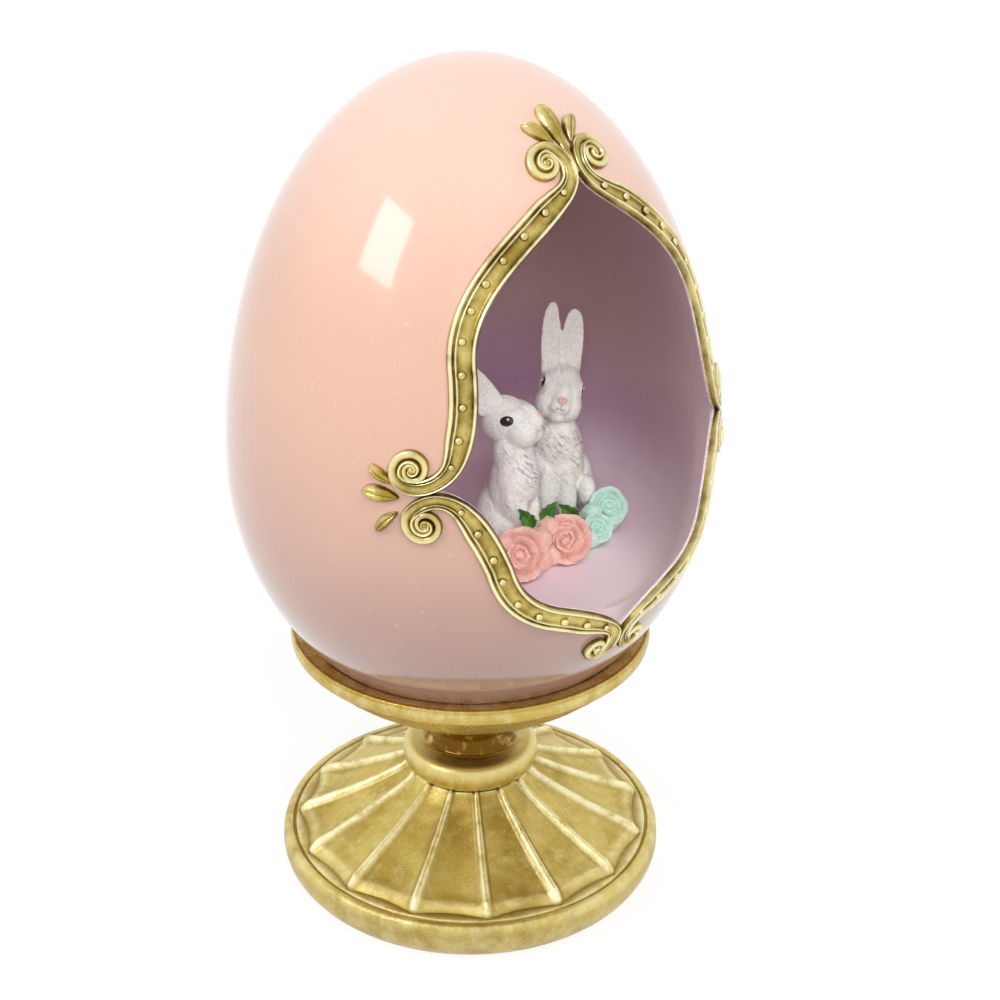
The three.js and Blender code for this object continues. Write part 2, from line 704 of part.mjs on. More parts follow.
// Sitting rabbit: haunches, chest and forelegs under an upright head, standing on the floor
function rabbitBody(rabbit, grow = 0) {
  const bodySize = [rabbit.bodyDepth, rabbit.bodyWidth, rabbit.bodyHeight];
  const headSize = [rabbit.headLength, rabbit.headWidth, rabbit.headHeight];
  const trunk = trunkMasses.map((shape) => mass(shape, bodySize, 1, grow));
  const muzzle = mass(muzzleMass, headSize, 1, grow);
  muzzle.translate(0, 0, -rabbit.muzzleDrop * rabbit.headHeight);
  const head = [mass(skullMass, headSize, 1, grow), muzzle];
  for (const hand of [-1, 1]) {
    trunk.push(...limbMasses.map((shape) => mass(shape, bodySize, hand, grow)));
    head.push(earGeometry(rabbit, hand, grow));
  }
  const place = (geometry, yaw, ahead, height) => {
    const turn = radians(yaw);
    return solid(geometry.rotateZ(turn).translate(
      rabbit.x + ahead * Math.cos(turn), rabbit.y + ahead * Math.sin(turn), groundLevel + height,
    ));
  };
  const bodies = [
    ...trunk.map((piece) => place(piece, rabbit.bodyYaw, 0, 0)),
    ...head.map((piece) => place(piece, rabbit.headYaw, rabbit.headForward, rabbit.headUp)),
  ];
  const neck = mass(neckMass, bodySize, 1, grow);
  bodies.push(place(neck, rabbit.headYaw, rabbit.headForward / 2, 0));
  return union(bodies);
}

// Slab under everything that stands on the floor, to cut the undersides flat
function groundSlab() {
  const depth = eggRadius;
  return solid(new THREE.BoxGeometry(2 * eggRadius, 2 * eggRadius, depth)
    .translate(0, 0, groundLevel - depth / 2));
}

// Rose: a round bloom whose petals wind out from the middle in raised whorls
function roseBody(rose, grow = 0) {
  const bloom = new THREE.SphereGeometry(1, 14, 7).rotateX(Math.PI / 2);
  const place = bloom.attributes.position;
  const spot = new THREE.Vector3();
  for (let i = 0; i < place.count; i++) {
    spot.fromBufferAttribute(place, i);
    const ring = Math.acos(THREE.MathUtils.clamp(spot.z, -1, 1));
    const onPole = Math.abs(Math.abs(spot.z) - 1) < weldDistance;
    const wave = onPole ? 0 : Math.cos(rosePetals * Math.atan2(spot.y, spot.x) + roseWind * ring);
    spot.multiplyScalar(1 + rosePetalRelief * wave);
    place.setXYZ(i, spot.x, spot.y, spot.z);
  }
  return solid(bloom
    .scale(rose.radius + grow, rose.radius + grow, rose.height / 2 + grow)
    .rotateX(radians(roseTilt))
    .translate(rose.x, rose.y, groundLevel + rose.height * roseSeatShare));
}

// Small green leaf standing between the roses and the rabbits
function greenBlade(leaf) {
  return solid(new THREE.SphereGeometry(1, 7, 5)
    .scale(greenLeaf.width / 2, greenLeaf.length / 2, greenLeaf.thick / 2)
    .rotateX(Math.PI / 2)
    .rotateX(radians(greenLeaf.lean))
    .rotateZ(radians(leaf.yaw + 90))
    .translate(leaf.x, leaf.y, groundLevel + leaf.up));
}

function addGroup() {
  const ground = groundSlab();
  const small = rabbitBody(smallRabbit).subtract(ground);
  const smallRoom = rabbitBody(smallRabbit, glueGap);
  const tallRoom = rabbitBody(tallRabbit, glueGap);
  const tall = largest(rabbitBody(tallRabbit).subtract(ground).subtract(smallRoom));
  addPiece('rabbit_small', geometryOf(largest(small)), whiteFur);
  addPiece('rabbit_tall', geometryOf(tall), whiteFur);
  const rooms = [smallRoom, tallRoom];
  for (const rose of roses) {
    const bloom = rooms.reduce((body, room) => body.subtract(room), roseBody(rose).subtract(ground));
    addPiece(rose.name, geometryOf(largest(bloom)), rosePaint[rose.colour]);
    rooms.push(roseBody(rose, glueGap));
  }
  for (const leaf of greenLeaves) {
    const blade = rooms.reduce((body, room) => body.subtract(room), greenBlade(leaf));
    addPiece(leaf.name, geometryOf(largest(blade)), greenPaint);
  }
}

addPiece('base_foot', footGeometry(), satinGold);
addPiece('felt_pad', feltGeometry(), feltCloth);
addPiece('stem_spool', spoolGeometry(), brightGold);
addPiece('egg_cup', cupGeometry(), satinGold);
addPiece('egg_shell', shellGeometry(), glossPink);

const top = cuspFrame('top', 1);
const bottom = cuspFrame('bottom', 1);
for (const [word, side] of [['left', -1], ['right', 1]]) {
  const flank = cuspFrame('side', side);
  const upperStrip = trimGeometry({
    curve: opening.upper,
    side,
    ends: [{ frame: top, sign: side }, { frame: flank, sign: 1 }],
    beads: upperBeads,
  });
  const lowerStrip = trimGeometry({
    curve: opening.lower,
    side,
    ends: [{ frame: flank, sign: -1 }, { frame: bottom, sign: side }],
    beads: lowerBeads,
  });
  addPiece(`trim_upper_${word}`, upperStrip, brightGold);
  addPiece(`trim_lower_${word}`, lowerStrip, brightGold);
  addSpray(flank, sideSpray, ['lower', 'centre', 'upper'].map((spot) => `leaf_${word}_${spot}`));
}
addSpray(top, topSpray, ['left', 'centre', 'right'].map((spot) => `leaf_top_${spot}`));
addGroup();

export default egg;
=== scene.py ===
import math
import random

import bmesh
import bpy
from mathutils import Matrix, Vector, noise
from mathutils.geometry import interpolate_bezier


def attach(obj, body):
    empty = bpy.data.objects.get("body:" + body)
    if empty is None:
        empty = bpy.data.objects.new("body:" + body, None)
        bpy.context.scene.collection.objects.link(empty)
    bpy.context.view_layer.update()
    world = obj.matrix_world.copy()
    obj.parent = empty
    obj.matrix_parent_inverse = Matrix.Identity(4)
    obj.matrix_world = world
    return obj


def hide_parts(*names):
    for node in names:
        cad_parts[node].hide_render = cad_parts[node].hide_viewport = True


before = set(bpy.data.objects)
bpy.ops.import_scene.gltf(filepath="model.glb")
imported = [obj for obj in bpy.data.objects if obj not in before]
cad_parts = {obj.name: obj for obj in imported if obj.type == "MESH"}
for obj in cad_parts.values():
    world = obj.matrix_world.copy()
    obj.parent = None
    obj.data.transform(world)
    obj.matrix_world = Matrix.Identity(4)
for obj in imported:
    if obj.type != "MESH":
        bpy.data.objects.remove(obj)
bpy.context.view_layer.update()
scene = bpy.context.scene
chance = random.Random(7)
up = Vector((0, 0, 1))
# way the painted light on the gold comes from
paintedLightWay = Vector((-0.75, -0.2, 0.63))


# shapes are drawn in millimetres and scaled when a piece is finished
def finishPiece(name, bm, finishes, nodes, crease):
    bmesh.ops.scale(bm, vec=(0.001, 0.001, 0.001), verts=bm.verts)
    mesh = bpy.data.meshes.new(name)
    bm.to_mesh(mesh)
    bm.free()
    for finish in finishes:
        mesh.materials.append(finish)
    mesh.shade_smooth()
    mesh.set_sharp_from_angle(angle=math.radians(crease))
    piece = bpy.data.objects.new(name, mesh)
    scene.collection.objects.link(piece)
    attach(piece, "root")
    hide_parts(*nodes)
    print("made", name, len(mesh.polygons), "faces")


def closeUp(bm, reach=0.0005):
    bmesh.ops.remove_doubles(bm, verts=bm.verts, dist=reach)
    bmesh.ops.recalc_face_normals(bm, faces=bm.faces)


# skin through closed rings of equal count, each drawn out of the one before
def loft(bm, rings, finish=0):
    order = bm.verts.layers.int.get("order") or bm.verts.layers.int.new("order")
    first = []
    for k, spot in enumerate(rings[0]):
        vert = bm.verts.new(spot)
        vert[order] = k
        first.append(vert)
    edges = [bm.edges.new(pair) for pair in zip(first, first[1:] + first[:1])]
    allVerts = list(first)
    for ring in rings[1:]:
        grown = bmesh.ops.extrude_edge_only(bm, edges=edges)["geom"]
        verts = [g for g in grown if isinstance(g, bmesh.types.BMVert)]
        edges = [g for g in grown if isinstance(g, bmesh.types.BMEdge) and g.is_boundary]
        for vert in verts:
            vert.co = ring[vert[order]]
        for face in {f for v in verts for f in v.link_faces}:
            face.material_index = finish
        allVerts += verts
    return allVerts


def capEnds(bm):
    bmesh.ops.holes_fill(bm, edges=[e for e in bm.edges if e.is_boundary], sides=0)


# darkening and paling of a piece: patina and painted shade in one layer, polish and painted highlight in the
# other
def wearAndPaintedLightLayers(bm):
    return bm.verts.layers.float.new("patinaAndShade"), bm.verts.layers.float.new("crest")


def addBall(bm, matrix, size=1.0, around=28, rows=18):
    return bmesh.ops.create_uvsphere(bm, u_segments=around, v_segments=rows, radius=size,
                                     matrix=matrix)["verts"]


def spun(angle, axis):
    return Matrix.Rotation(math.radians(angle), 4, axis)


def turned(profile, bm, steps=180):
    verts = [bm.verts.new((r, 0, z)) for r, z in profile]
    edges = [bm.edges.new(pair) for pair in zip(verts, verts[1:])]
    bmesh.ops.spin(bm, geom=verts + edges, cent=(0, 0, 0), axis=up, dvec=(0, 0, 0),
                   angle=math.tau, steps=steps, use_merge=True)
    closeUp(bm)


def curve(points, steps):
    # points in (r, z) with two handles between each pair of ends
    run = []
    for k in range(0, len(points) - 3, 3):
        knots = [Vector((p[0], p[1])) for p in points[k:k + 4]]
        run += interpolate_bezier(*knots, steps + 1)[:-1]
    run.append(Vector(points[-1]))
    return [(p[0], p[1]) for p in run]


def clip(value):
    return min(1.0, max(0.0, value))


def blend(low, high, share):
    return low + (high - low) * clip(share)


def ease(low, high, value):
    share = clip((value - low) / (high - low))
    return share * share * (3 - 2 * share)


def hollowness(bm, reach):
    # how far each point lies below its surroundings
    found = {}
    for vert in bm.verts:
        around = [e.other_vert(vert).co for e in vert.link_edges]
        found[vert.index] = (sum(around, Vector()) / len(around) - vert.co).dot(vert.normal)
    for _ in range(reach):
        eased = {}
        for vert in bm.verts:
            around = [found[e.other_vert(vert).index] for e in vert.link_edges]
            eased[vert.index] = (found[vert.index] + sum(around) / len(around)) / 2
        found = eased
    return found


# egg surface
eggForm = {
    "radius": 48.0, "upper": 78.0, "lower": 53.3, "middle": 95.5, "wall": 4.0, "floor": 75.1, "cove": 5.0,
}


def eggHalf(z, grow=0.0):
    return (eggForm["upper"] if z > eggForm["middle"] else eggForm["lower"]) + grow


def eggRadiusAt(z, grow=0.0):
    level = (z - eggForm["middle"]) / eggHalf(z, grow)
    return (eggForm["radius"] + grow) * math.sqrt(max(0.0, 1 - level * level))


def eggNormal(p):
    half = eggHalf(p.z)
    flat = eggForm["radius"] ** 2
    return Vector((p.x / flat, p.y / flat, (p.z - eggForm["middle"]) / half ** 2)).normalized()


def onEgg(p):
    middle = Vector((0, 0, eggForm["middle"]))
    away = p - middle
    size = (away.x ** 2 + away.y ** 2) / eggForm["radius"] ** 2 + (away.z / eggHalf(p.z)) ** 2
    return middle + away / math.sqrt(size)


def onFront(x, z):
    return Vector((x, -math.sqrt(eggRadiusAt(z) ** 2 - x * x), z))


# opening: half widths and heights above the egg's widest level, with curve handles and the cusps' lean
openingForm = {
    "top": {"spot": (0, 62.0), "after": (1.5, -5.3), "lean": 2.1},
    "shoulder": {"spot": (24.4, 33.5), "before": (-0.9, 17), "after": (0.8, -8)},
    "side": {"spot": (31.3, 13.2), "before": (-4.8, 3.8), "after": (-4.8, -1.2)},
    "hip": {"spot": (22, -1), "before": (2.2, 6.5), "after": (-1.2, -5.3)},
    "knee": {"spot": (13, -11.5), "before": (5.3, 2), "after": (-4.6, -1.8)},
    "bottom": {"spot": (0, -20.1), "before": (3.2, 4.2), "lean": 2.8},
}
upperRun = ("top", "shoulder", "side")
lowerRun = ("side", "hip", "knee", "bottom")


def openingRun(names, steps):
    run = []
    for a, b in zip(names, names[1:]):
        start, end = Vector(openingForm[a]["spot"]), Vector(openingForm[b]["spot"])
        handles = start + Vector(openingForm[a]["after"]), end + Vector(openingForm[b]["before"])
        run += interpolate_bezier(start, *handles, end, steps + 1)[:-1]
    run.append(Vector(openingForm[names[-1]]["spot"]))
    return [Vector((p[0], p[1])) for p in run]


def onOpening(p, side):
    # a spot of the right half (1) or the left (-1), on the egg
    lean = openingForm["top" if p.y > openingForm["side"]["spot"][1] else "bottom"]["lean"]
    x = side * p.x + lean * (1 - p.x / openingForm["side"]["spot"][0])
    return onFront(x, eggForm["middle"] + p.y)


# shader building
class Wire:
    def __init__(self, tree, socket):
        self.tree = tree
        self.socket = socket

    def combine(self, kind, other, swap=False):
        made = self.tree.nodes.new("ShaderNodeMath")
        made.operation = kind
        pair = (other, self) if swap else (self, other)
        for socket, value in zip(made.inputs, pair):
            if isinstance(value, Wire):
                self.tree.links.new(value.socket, socket)
            else:
                socket.default_value = value
        return Wire(self.tree, made.outputs[0])

    def __add__(self, other):
        return self.combine("ADD", other)

    def __radd__(self, other):
        return self.combine("ADD", other, True)

    def __sub__(self, other):
        return self.combine("SUBTRACT", other)

    def __rsub__(self, other):
        return self.combine("SUBTRACT", other, True)

    def __mul__(self, other):
        return self.combine("MULTIPLY", other)

    def __rmul__(self, other):
        return self.combine("MULTIPLY", other, True)


class Finish:
    def __init__(self, name, fixed):
        self.material = bpy.data.materials.new(name)
        self.material.use_nodes = True
        self.tree = self.material.node_tree
        self.shader = self.tree.nodes["Principled BSDF"]
        self.feed(self.shader, fixed)
        self.place = self.node("ShaderNodeTexCoord", {}, {}, "Object")

    def feed(self, made, sockets):
        for key, value in sockets.items():
            socket = made.inputs[key]
            if isinstance(value, Wire):
                self.tree.links.new(value.socket, socket)
            else:
                socket.default_value = value

    # any node: its type, its settings, the values or links of its sockets, and the output wanted
    def node(self, kind, settings, sockets, output=0):
        made = self.tree.nodes.new(kind)
        for key, value in settings.items():
            setattr(made, key, value)
        self.feed(made, sockets)
        return Wire(self.tree, made.outputs[output])

    def mix(self, share, a, b):
        return self.node("ShaderNodeMix", {"data_type": "RGBA"}, {0: share, 6: a, 7: b}, 2)

    def grain(self, scale, detail=3.0, rough=0.5, place=None, distortion=0.0):
        return self.node("ShaderNodeTexNoise", {}, {
            "Vector": place or self.place, "Scale": scale, "Detail": detail, "Roughness": rough,
            "Distortion": distortion})

    def stretched(self, scale):
        return self.node("ShaderNodeMapping", {}, {"Vector": self.place, "Scale": scale})

    def range(self, value, low, high):
        return self.node("ShaderNodeMapRange", {"interpolation_type": "SMOOTHSTEP"}, {
            "Value": value, "From Min": low, "From Max": high})

    def bump(self, height, depth, strength):
        return self.node("ShaderNodeBump", {}, {"Height": height, "Distance": depth, "Strength": strength})

    def split(self, vector, axis):
        return self.node("ShaderNodeSeparateXYZ", {}, {"Vector": vector}, axis)

    def along(self, way):
        sockets = {0: self.place, 1: way}
        return self.node("ShaderNodeVectorMath", {"operation": "DOT_PRODUCT"}, sockets, "Value")

    def attribute(self, name, output="Color"):
        return self.node("ShaderNodeAttribute", {"attribute_name": name}, {}, output)

    def done(self, sockets):
        self.feed(self.shader, sockets)
        return self.material


def tone(red, green, blue):
    # a colour given as on screen, as the shader wants it
    parts = [c / 255 for c in (red, green, blue)]
    return (*[c / 12.92 if c <= 0.04045 else ((c + 0.055) / 1.055) ** 2.4 for c in parts], 1)


# egg lacquer
lacquerForm = {
    "peach": tone(227, 182, 160), "rose": tone(204, 162, 150), "crown": tone(243, 202, 184),
    "overspray": tone(186, 150, 76), "speck": tone(205, 160, 150), "fleck": tone(255, 236, 228),
    "gloss": 0.12,
}


def makeLacquer():
    finish = Finish("egg_lacquer", {"IOR": 1.5, "Coat Roughness": 0.04})
    height = finish.split(finish.place, "Z")
    cloudy = finish.grain(55.0, 2.0)
    # rosy near the cup, peach at the middle, paler on top as a painted sheen
    belly = finish.range(height + cloudy * 0.02, 0.065, 0.14)
    colour = finish.mix(belly, lacquerForm["rose"], lacquerForm["peach"])
    colour = finish.mix(finish.range(height + cloudy * 0.01, 0.135, 0.18), colour, lacquerForm["crown"])
    speck = finish.grain(900.0, 1.0)
    colour = finish.mix(finish.range(speck, 0.70, 0.80) * 0.12, colour, lacquerForm["speck"])
    colour = finish.mix(finish.range(speck, 0.30, 0.22) * 0.18, colour, lacquerForm["fleck"])
    # gold blown over the joint with the cup
    drift = finish.grain(420.0, 4.0, 0.7)
    dust = finish.range(height + drift * 0.006, 0.0655, 0.0605) * finish.range(drift, 0.42, 0.66)
    colour = finish.mix(dust * 0.75, colour, lacquerForm["overspray"])
    wave = finish.grain(60.0, 2.0)
    return finish.done({
        "Base Color": colour, "Metallic": dust * 0.5,
        "Roughness": lacquerForm["gloss"] + finish.grain(300.0) * 0.05 + dust * 0.3,
        "Coat Weight": 0.7 - dust * 0.6,
        "Normal": finish.bump(wave + speck * 0.04, 0.0004, 0.35),
    })


# lilac paint inside the egg: violet at the left, dusky pink towards the upper right, pale on the floor;
# deeper up the walls as painted shade, and paler by the opening as painted light
lilacForm = {
    "edge": tone(255, 236, 238), "light": tone(252, 232, 242), "deep": tone(204, 171, 197),
    "dusky": tone(200, 171, 165), "speck": tone(248, 234, 238),
}


def makeLilac():
    finish = Finish("lilac_paint", {"IOR": 1.45})
    cloudy = finish.grain(38.0, 3.0)
    fine = finish.grain(700.0, 2.0)
    height, across = finish.split(finish.place, "Z"), finish.split(finish.place, "X")
    # painted shade: the walls above the floor take the deeper lilac
    raised = finish.range(height + cloudy * 0.01, 0.079, 0.098)
    colour = finish.mix(raised, lilacForm["light"], lilacForm["deep"])
    warm = finish.range(across * 0.7 + height + cloudy * 0.012, 0.118, 0.150)
    colour = finish.mix(warm, colour, lilacForm["dusky"])
    # painted light: paler by the opening
    colour = finish.mix(finish.attribute("pale", "Fac"), colour, lilacForm["edge"])
    colour = finish.mix(finish.range(fine, 0.62, 0.75) * 0.15, colour, lilacForm["speck"])
    return finish.done({
        "Base Color": colour, "Roughness": 0.36 + cloudy * 0.16, "Coat Weight": 0.15 * fine,
        "Normal": finish.bump(cloudy + fine * 0.12, 0.0005, 0.35),
    })


# bright gold of the border
brightForm = {
    "light": tone(228, 206, 118), "mid": tone(180, 152, 62), "deep": tone(78, 56, 12),
    "crest": tone(255, 248, 204),
}


def makeBright():
    finish = Finish("bright_gold", {"IOR": 1.5})
    patches = finish.grain(180.0, 4.0, 0.6)
    fine = finish.grain(1500.0, 3.0)
    low, high = finish.attribute("patinaAndShade", "Fac"), finish.attribute("crest", "Fac")
    colour = finish.mix(finish.range(patches, 0.3, 0.7), brightForm["mid"], brightForm["light"])
    # polish and painted highlight on the crests, patina and painted shade in the hollows and on flanks turned
    # from the light
    colour = finish.mix(high * finish.range(patches, 0.22, 0.5), colour, brightForm["crest"])
    colour = finish.mix(low * finish.range(patches, 0.9, 0.3), colour, brightForm["deep"])
    return finish.done({
        "Base Color": colour, "Metallic": 0.98 - low * 0.1,
        "Roughness": 0.13 + patches * 0.14 + low * 0.1 + fine * 0.05,
        "Normal": finish.bump(patches + fine * 0.12, 0.00035, 0.5),
    })


# satin gold of the foot and the cup
satinForm = {
    "light": tone(238, 224, 154), "mid": tone(216, 194, 110), "deep": tone(182, 156, 74),
    "warm": tone(186, 146, 40), "crest": tone(255, 246, 196), "patina": tone(140, 110, 42),
    "glitter": tone(255, 246, 204),
}


def makeSatin(name, rough, shine, warm):
    finish = Finish(name, {"IOR": 1.5})
    blotch = finish.grain(70.0, 5.0, 0.65)
    rub = finish.grain(240.0, 4.0, 0.7)
    glitter = finish.grain(2600.0, 2.0, 0.8)
    low, high = finish.attribute("patinaAndShade", "Fac"), finish.attribute("crest", "Fac")
    colour = finish.mix(finish.range(blotch, 0.36, 0.62), satinForm["deep"], satinForm["mid"])
    colour = finish.mix(warm, colour, satinForm["warm"])
    colour = finish.mix(finish.range(rub, 0.45, 0.72) * 0.5, colour, satinForm["light"])
    # polish and painted highlight on the crests, patina and painted shade in the hollows and on flanks turned
    # from the light
    colour = finish.mix(high * finish.range(rub, 0.25, 0.6), colour, satinForm["crest"])
    colour = finish.mix(low, colour, satinForm["patina"])
    colour = finish.mix(finish.range(glitter, 0.62, 0.74) * 0.7, colour, satinForm["glitter"])
    return finish.done({
        "Base Color": colour, "Metallic": 0.95 - blotch * 0.06,
        "Roughness": rough + rub * 0.14 - finish.range(glitter, 0.62, 0.8) * shine,
        "Normal": finish.bump(rub * 0.5 + glitter * 0.5 + blotch * 0.3, 0.0003, 0.55),
    })


# gold of the spool: satin with a painted highlight as a pale crest on the collar, and a polished waist
# painted dark brown as a painted reflection, with painted glints
spoolTones = {
    "low": tone(200, 174, 92), "high": tone(226, 206, 134), "crest": tone(238, 222, 158),
    "paintedReflection": tone(112, 78, 24), "paintedGlint": tone(206, 172, 96),
}


def makeSpoolGold():
    finish = Finish("spool_gold", {"IOR": 1.5})
    height = finish.split(finish.place, "Z")
    rub = finish.grain(300.0, 4.0, 0.65)
    polished = finish.range(height + rub * 0.0008, 0.0290, 0.0300)
    colour = finish.mix(finish.range(rub, 0.3, 0.7), spoolTones["low"], spoolTones["high"])
    # painted highlight: a pale band round the collar's crest
    crest = finish.range(height, 0.0262, 0.0282) * (1 - polished)
    colour = finish.mix(crest * 0.6, colour, spoolTones["crest"])
    # painted reflection: the polished waist turned dark brown, with paler painted glints
    paintedReflection = finish.mix(finish.range(rub, 0.5, 0.75), spoolTones["paintedReflection"], spoolTones["paintedGlint"])
    colour = finish.mix(polished, colour, paintedReflection)
    satin, mirror = 0.34 + rub * 0.1, 0.07 + rub * 0.05
    rough = finish.node("ShaderNodeMix", {"data_type": "FLOAT"}, {0: polished, 2: satin, 3: mirror})
    return finish.done({
        "Base Color": colour, "Metallic": 0.96 + polished * 0.04, "Roughness": rough,
        "Normal": finish.bump(rub, 0.0002, 0.35),
    })


# white fur: ways along the strokes, across them and into the chest, each with its grain
furRuns = (((0.58, -0.41, -0.7), 330.0), ((0.58, -0.41, 0.7), 3000.0), ((0.575, 0.818, 0.0), 700.0))
furTones = {
    "dull": tone(180, 178, 172), "patch": tone(168, 166, 160), "frost": tone(255, 255, 252),
    "stroke": tone(126, 122, 116),
}


def makeFur():
    finish = Finish("white_fur", {"IOR": 1.45})
    paint, brush = finish.attribute("paint"), finish.attribute("brush", "Fac")
    frosted = finish.attribute("paint", "Alpha")
    # thin strokes run slantwise down the chest
    runs = [finish.along(way) * rate for way, rate in furRuns]
    strokes = finish.grain(1.0, 2.0, 0.5, finish.node("ShaderNodeCombineXYZ", {}, dict(zip("XYZ", runs))))
    stroke = finish.range(strokes, 0.55, 0.66) * brush
    frost = finish.grain(2300.0, 2.0, 0.6)
    sparkle = finish.grain(1700.0, 1.0)
    patches = finish.grain(800.0, 3.0, 0.6)
    colour = finish.mix(finish.range(frost, 0.46, 0.3) * 0.28, paint, furTones["dull"])
    colour = finish.mix(finish.range(patches, 0.48, 0.32) * 0.14, colour, furTones["patch"])
    colour = finish.mix(finish.range(frost, 0.5, 0.62) * 0.8 * frosted, colour, furTones["frost"])
    colour = finish.mix(stroke * 0.4, colour, furTones["stroke"])
    return finish.done({
        "Base Color": colour, "Roughness": 0.55 + frost * 0.2 - finish.range(sparkle, 0.64, 0.72) * 0.4,
        "Normal": finish.bump(frost * 0.6 - stroke, 0.0004, 0.8),
    })


# petals: light, deep and edge tone of each kind, and the bloom on both
petalTones = {
    "pink_petal": (tone(245, 198, 184), tone(216, 148, 134), tone(253, 222, 212)),
    "mint_petal": (tone(206, 242, 228), tone(148, 200, 184), tone(232, 251, 243)),
    "bloom": tone(255, 248, 244),
}


def makePetal(name):
    light, deep, edge = petalTones[name]
    finish = Finish(name, {"IOR": 1.46})
    patinaAndShade = finish.attribute("patinaAndShade", "Fac")
    cloudy = finish.grain(260.0, 3.0)
    fine = finish.grain(2000.0, 2.0)
    # painted shade: deeper in the recesses
    colour = finish.mix(finish.range(cloudy, 0.3, 0.7) * 0.3 + patinaAndShade * 0.7, light, deep)
    colour = finish.mix(finish.attribute("crest", "Fac") * 0.7, colour, edge)
    colour = finish.mix(finish.range(fine, 0.58, 0.7) * 0.5, colour, petalTones["bloom"])
    return finish.done({
        "Base Color": colour, "Roughness": 0.3 + cloudy * 0.22, "Coat Weight": 0.2 * cloudy,
        "Normal": finish.bump(cloudy + fine * 0.4, 0.0002, 0.5),
    })


greenTones = {"low": tone(40, 96, 26), "high": tone(92, 140, 56)}


def makeGreen():
    finish = Finish("leaf_green", {"IOR": 1.46})
    cloudy = finish.grain(520.0, 3.0)
    vein = finish.grain(1.0, 2.0, 0.5, finish.stretched((1500.0, 1500.0, 400.0)))
    colour = finish.mix(finish.range(cloudy, 0.35, 0.7), greenTones["low"], greenTones["high"])
    return finish.done({
        "Base Color": colour, "Roughness": 0.3 + cloudy * 0.2, "Normal": finish.bump(vein, 0.0002, 0.6),
    })


eyeTones = {
    "black": tone(10, 8, 8), "brown": tone(30, 22, 20), "pearl": tone(240, 240, 236),
    "white": tone(255, 255, 255),
}


def makeEye():
    finish = Finish("eye_black", {"IOR": 1.5, "Coat Roughness": 0.02})
    cloudy = finish.grain(900.0, 2.0)
    colour = finish.mix(cloudy, eyeTones["black"], eyeTones["brown"])
    return finish.done({
        "Base Color": colour, "Roughness": 0.06 + cloudy * 0.06, "Coat Weight": 0.8 + cloudy * 0.2,
    })


def makeGlint():
    finish = Finish("eye_glint", {"IOR": 1.45})
    fine = finish.grain(3000.0, 2.0)
    colour = finish.mix(fine, eyeTones["pearl"], eyeTones["white"])
    return finish.done({"Base Color": colour, "Roughness": 0.4 + fine * 0.2})


feltTones = {"low": tone(58, 44, 34), "high": tone(112, 90, 70), "patch": tone(70, 54, 42)}


def makeFelt():
    finish = Finish("felt", {"IOR": 1.4, "Sheen Weight": 0.3})
    fibre = finish.grain(1800.0, 5.0, 0.8, distortion=1.5)
    patches = finish.grain(120.0, 3.0)
    colour = finish.mix(fibre, feltTones["low"], feltTones["high"])
    colour = finish.mix(patches * 0.3, colour, feltTones["patch"])
    return finish.done({
        "Base Color": colour, "Roughness": 0.85 + patches * 0.12,
        "Normal": finish.bump(fibre, 0.0005, 0.9),
    })


lacquer = makeLacquer()
lilac = makeLilac()
brightGold = makeBright()
footGold = makeSatin("foot_gold", rough=0.3, shine=0.1, warm=0.04)
cupGold = makeSatin("cup_gold", rough=0.2, shine=0.08, warm=0.5)
spoolGold = makeSpoolGold()
whiteFur = makeFur()
pinkPetal = makePetal("pink_petal")
mintPetal = makePetal("mint_petal")
leafGreen = makeGreen()
eyeBlack = makeEye()
eyeGlint = makeGlint()
feltCloth = makeFelt()
print("materials made")


# foot
footForm = {
    "radius": 40.5, "rest": 36.6, "waist": 5.6, "rim": 9.0, "groove": 38.1, "grooveDepth": 0.55,
    "panelEnd": 37.0, "top": 12.2, "height": 22.0, "flutes": 15, "turn": -29.6, "scallop": 1.9,
    "step": 0.8, "ridge": 1.15, "ridgeFoot": 1.1, "ridgeHead": 0.62, "knob": 0.35, "scoop": 0.4,
    "bore": 5.0, "boreFloor": 18.0, "recess": 33.3, "recessDepth": 1.9, "uneven": 0.05,
    "riseHandles": ((27.3, 12.7), (17.0, 17.5)), "riseRows": 40, "around": 600,
}


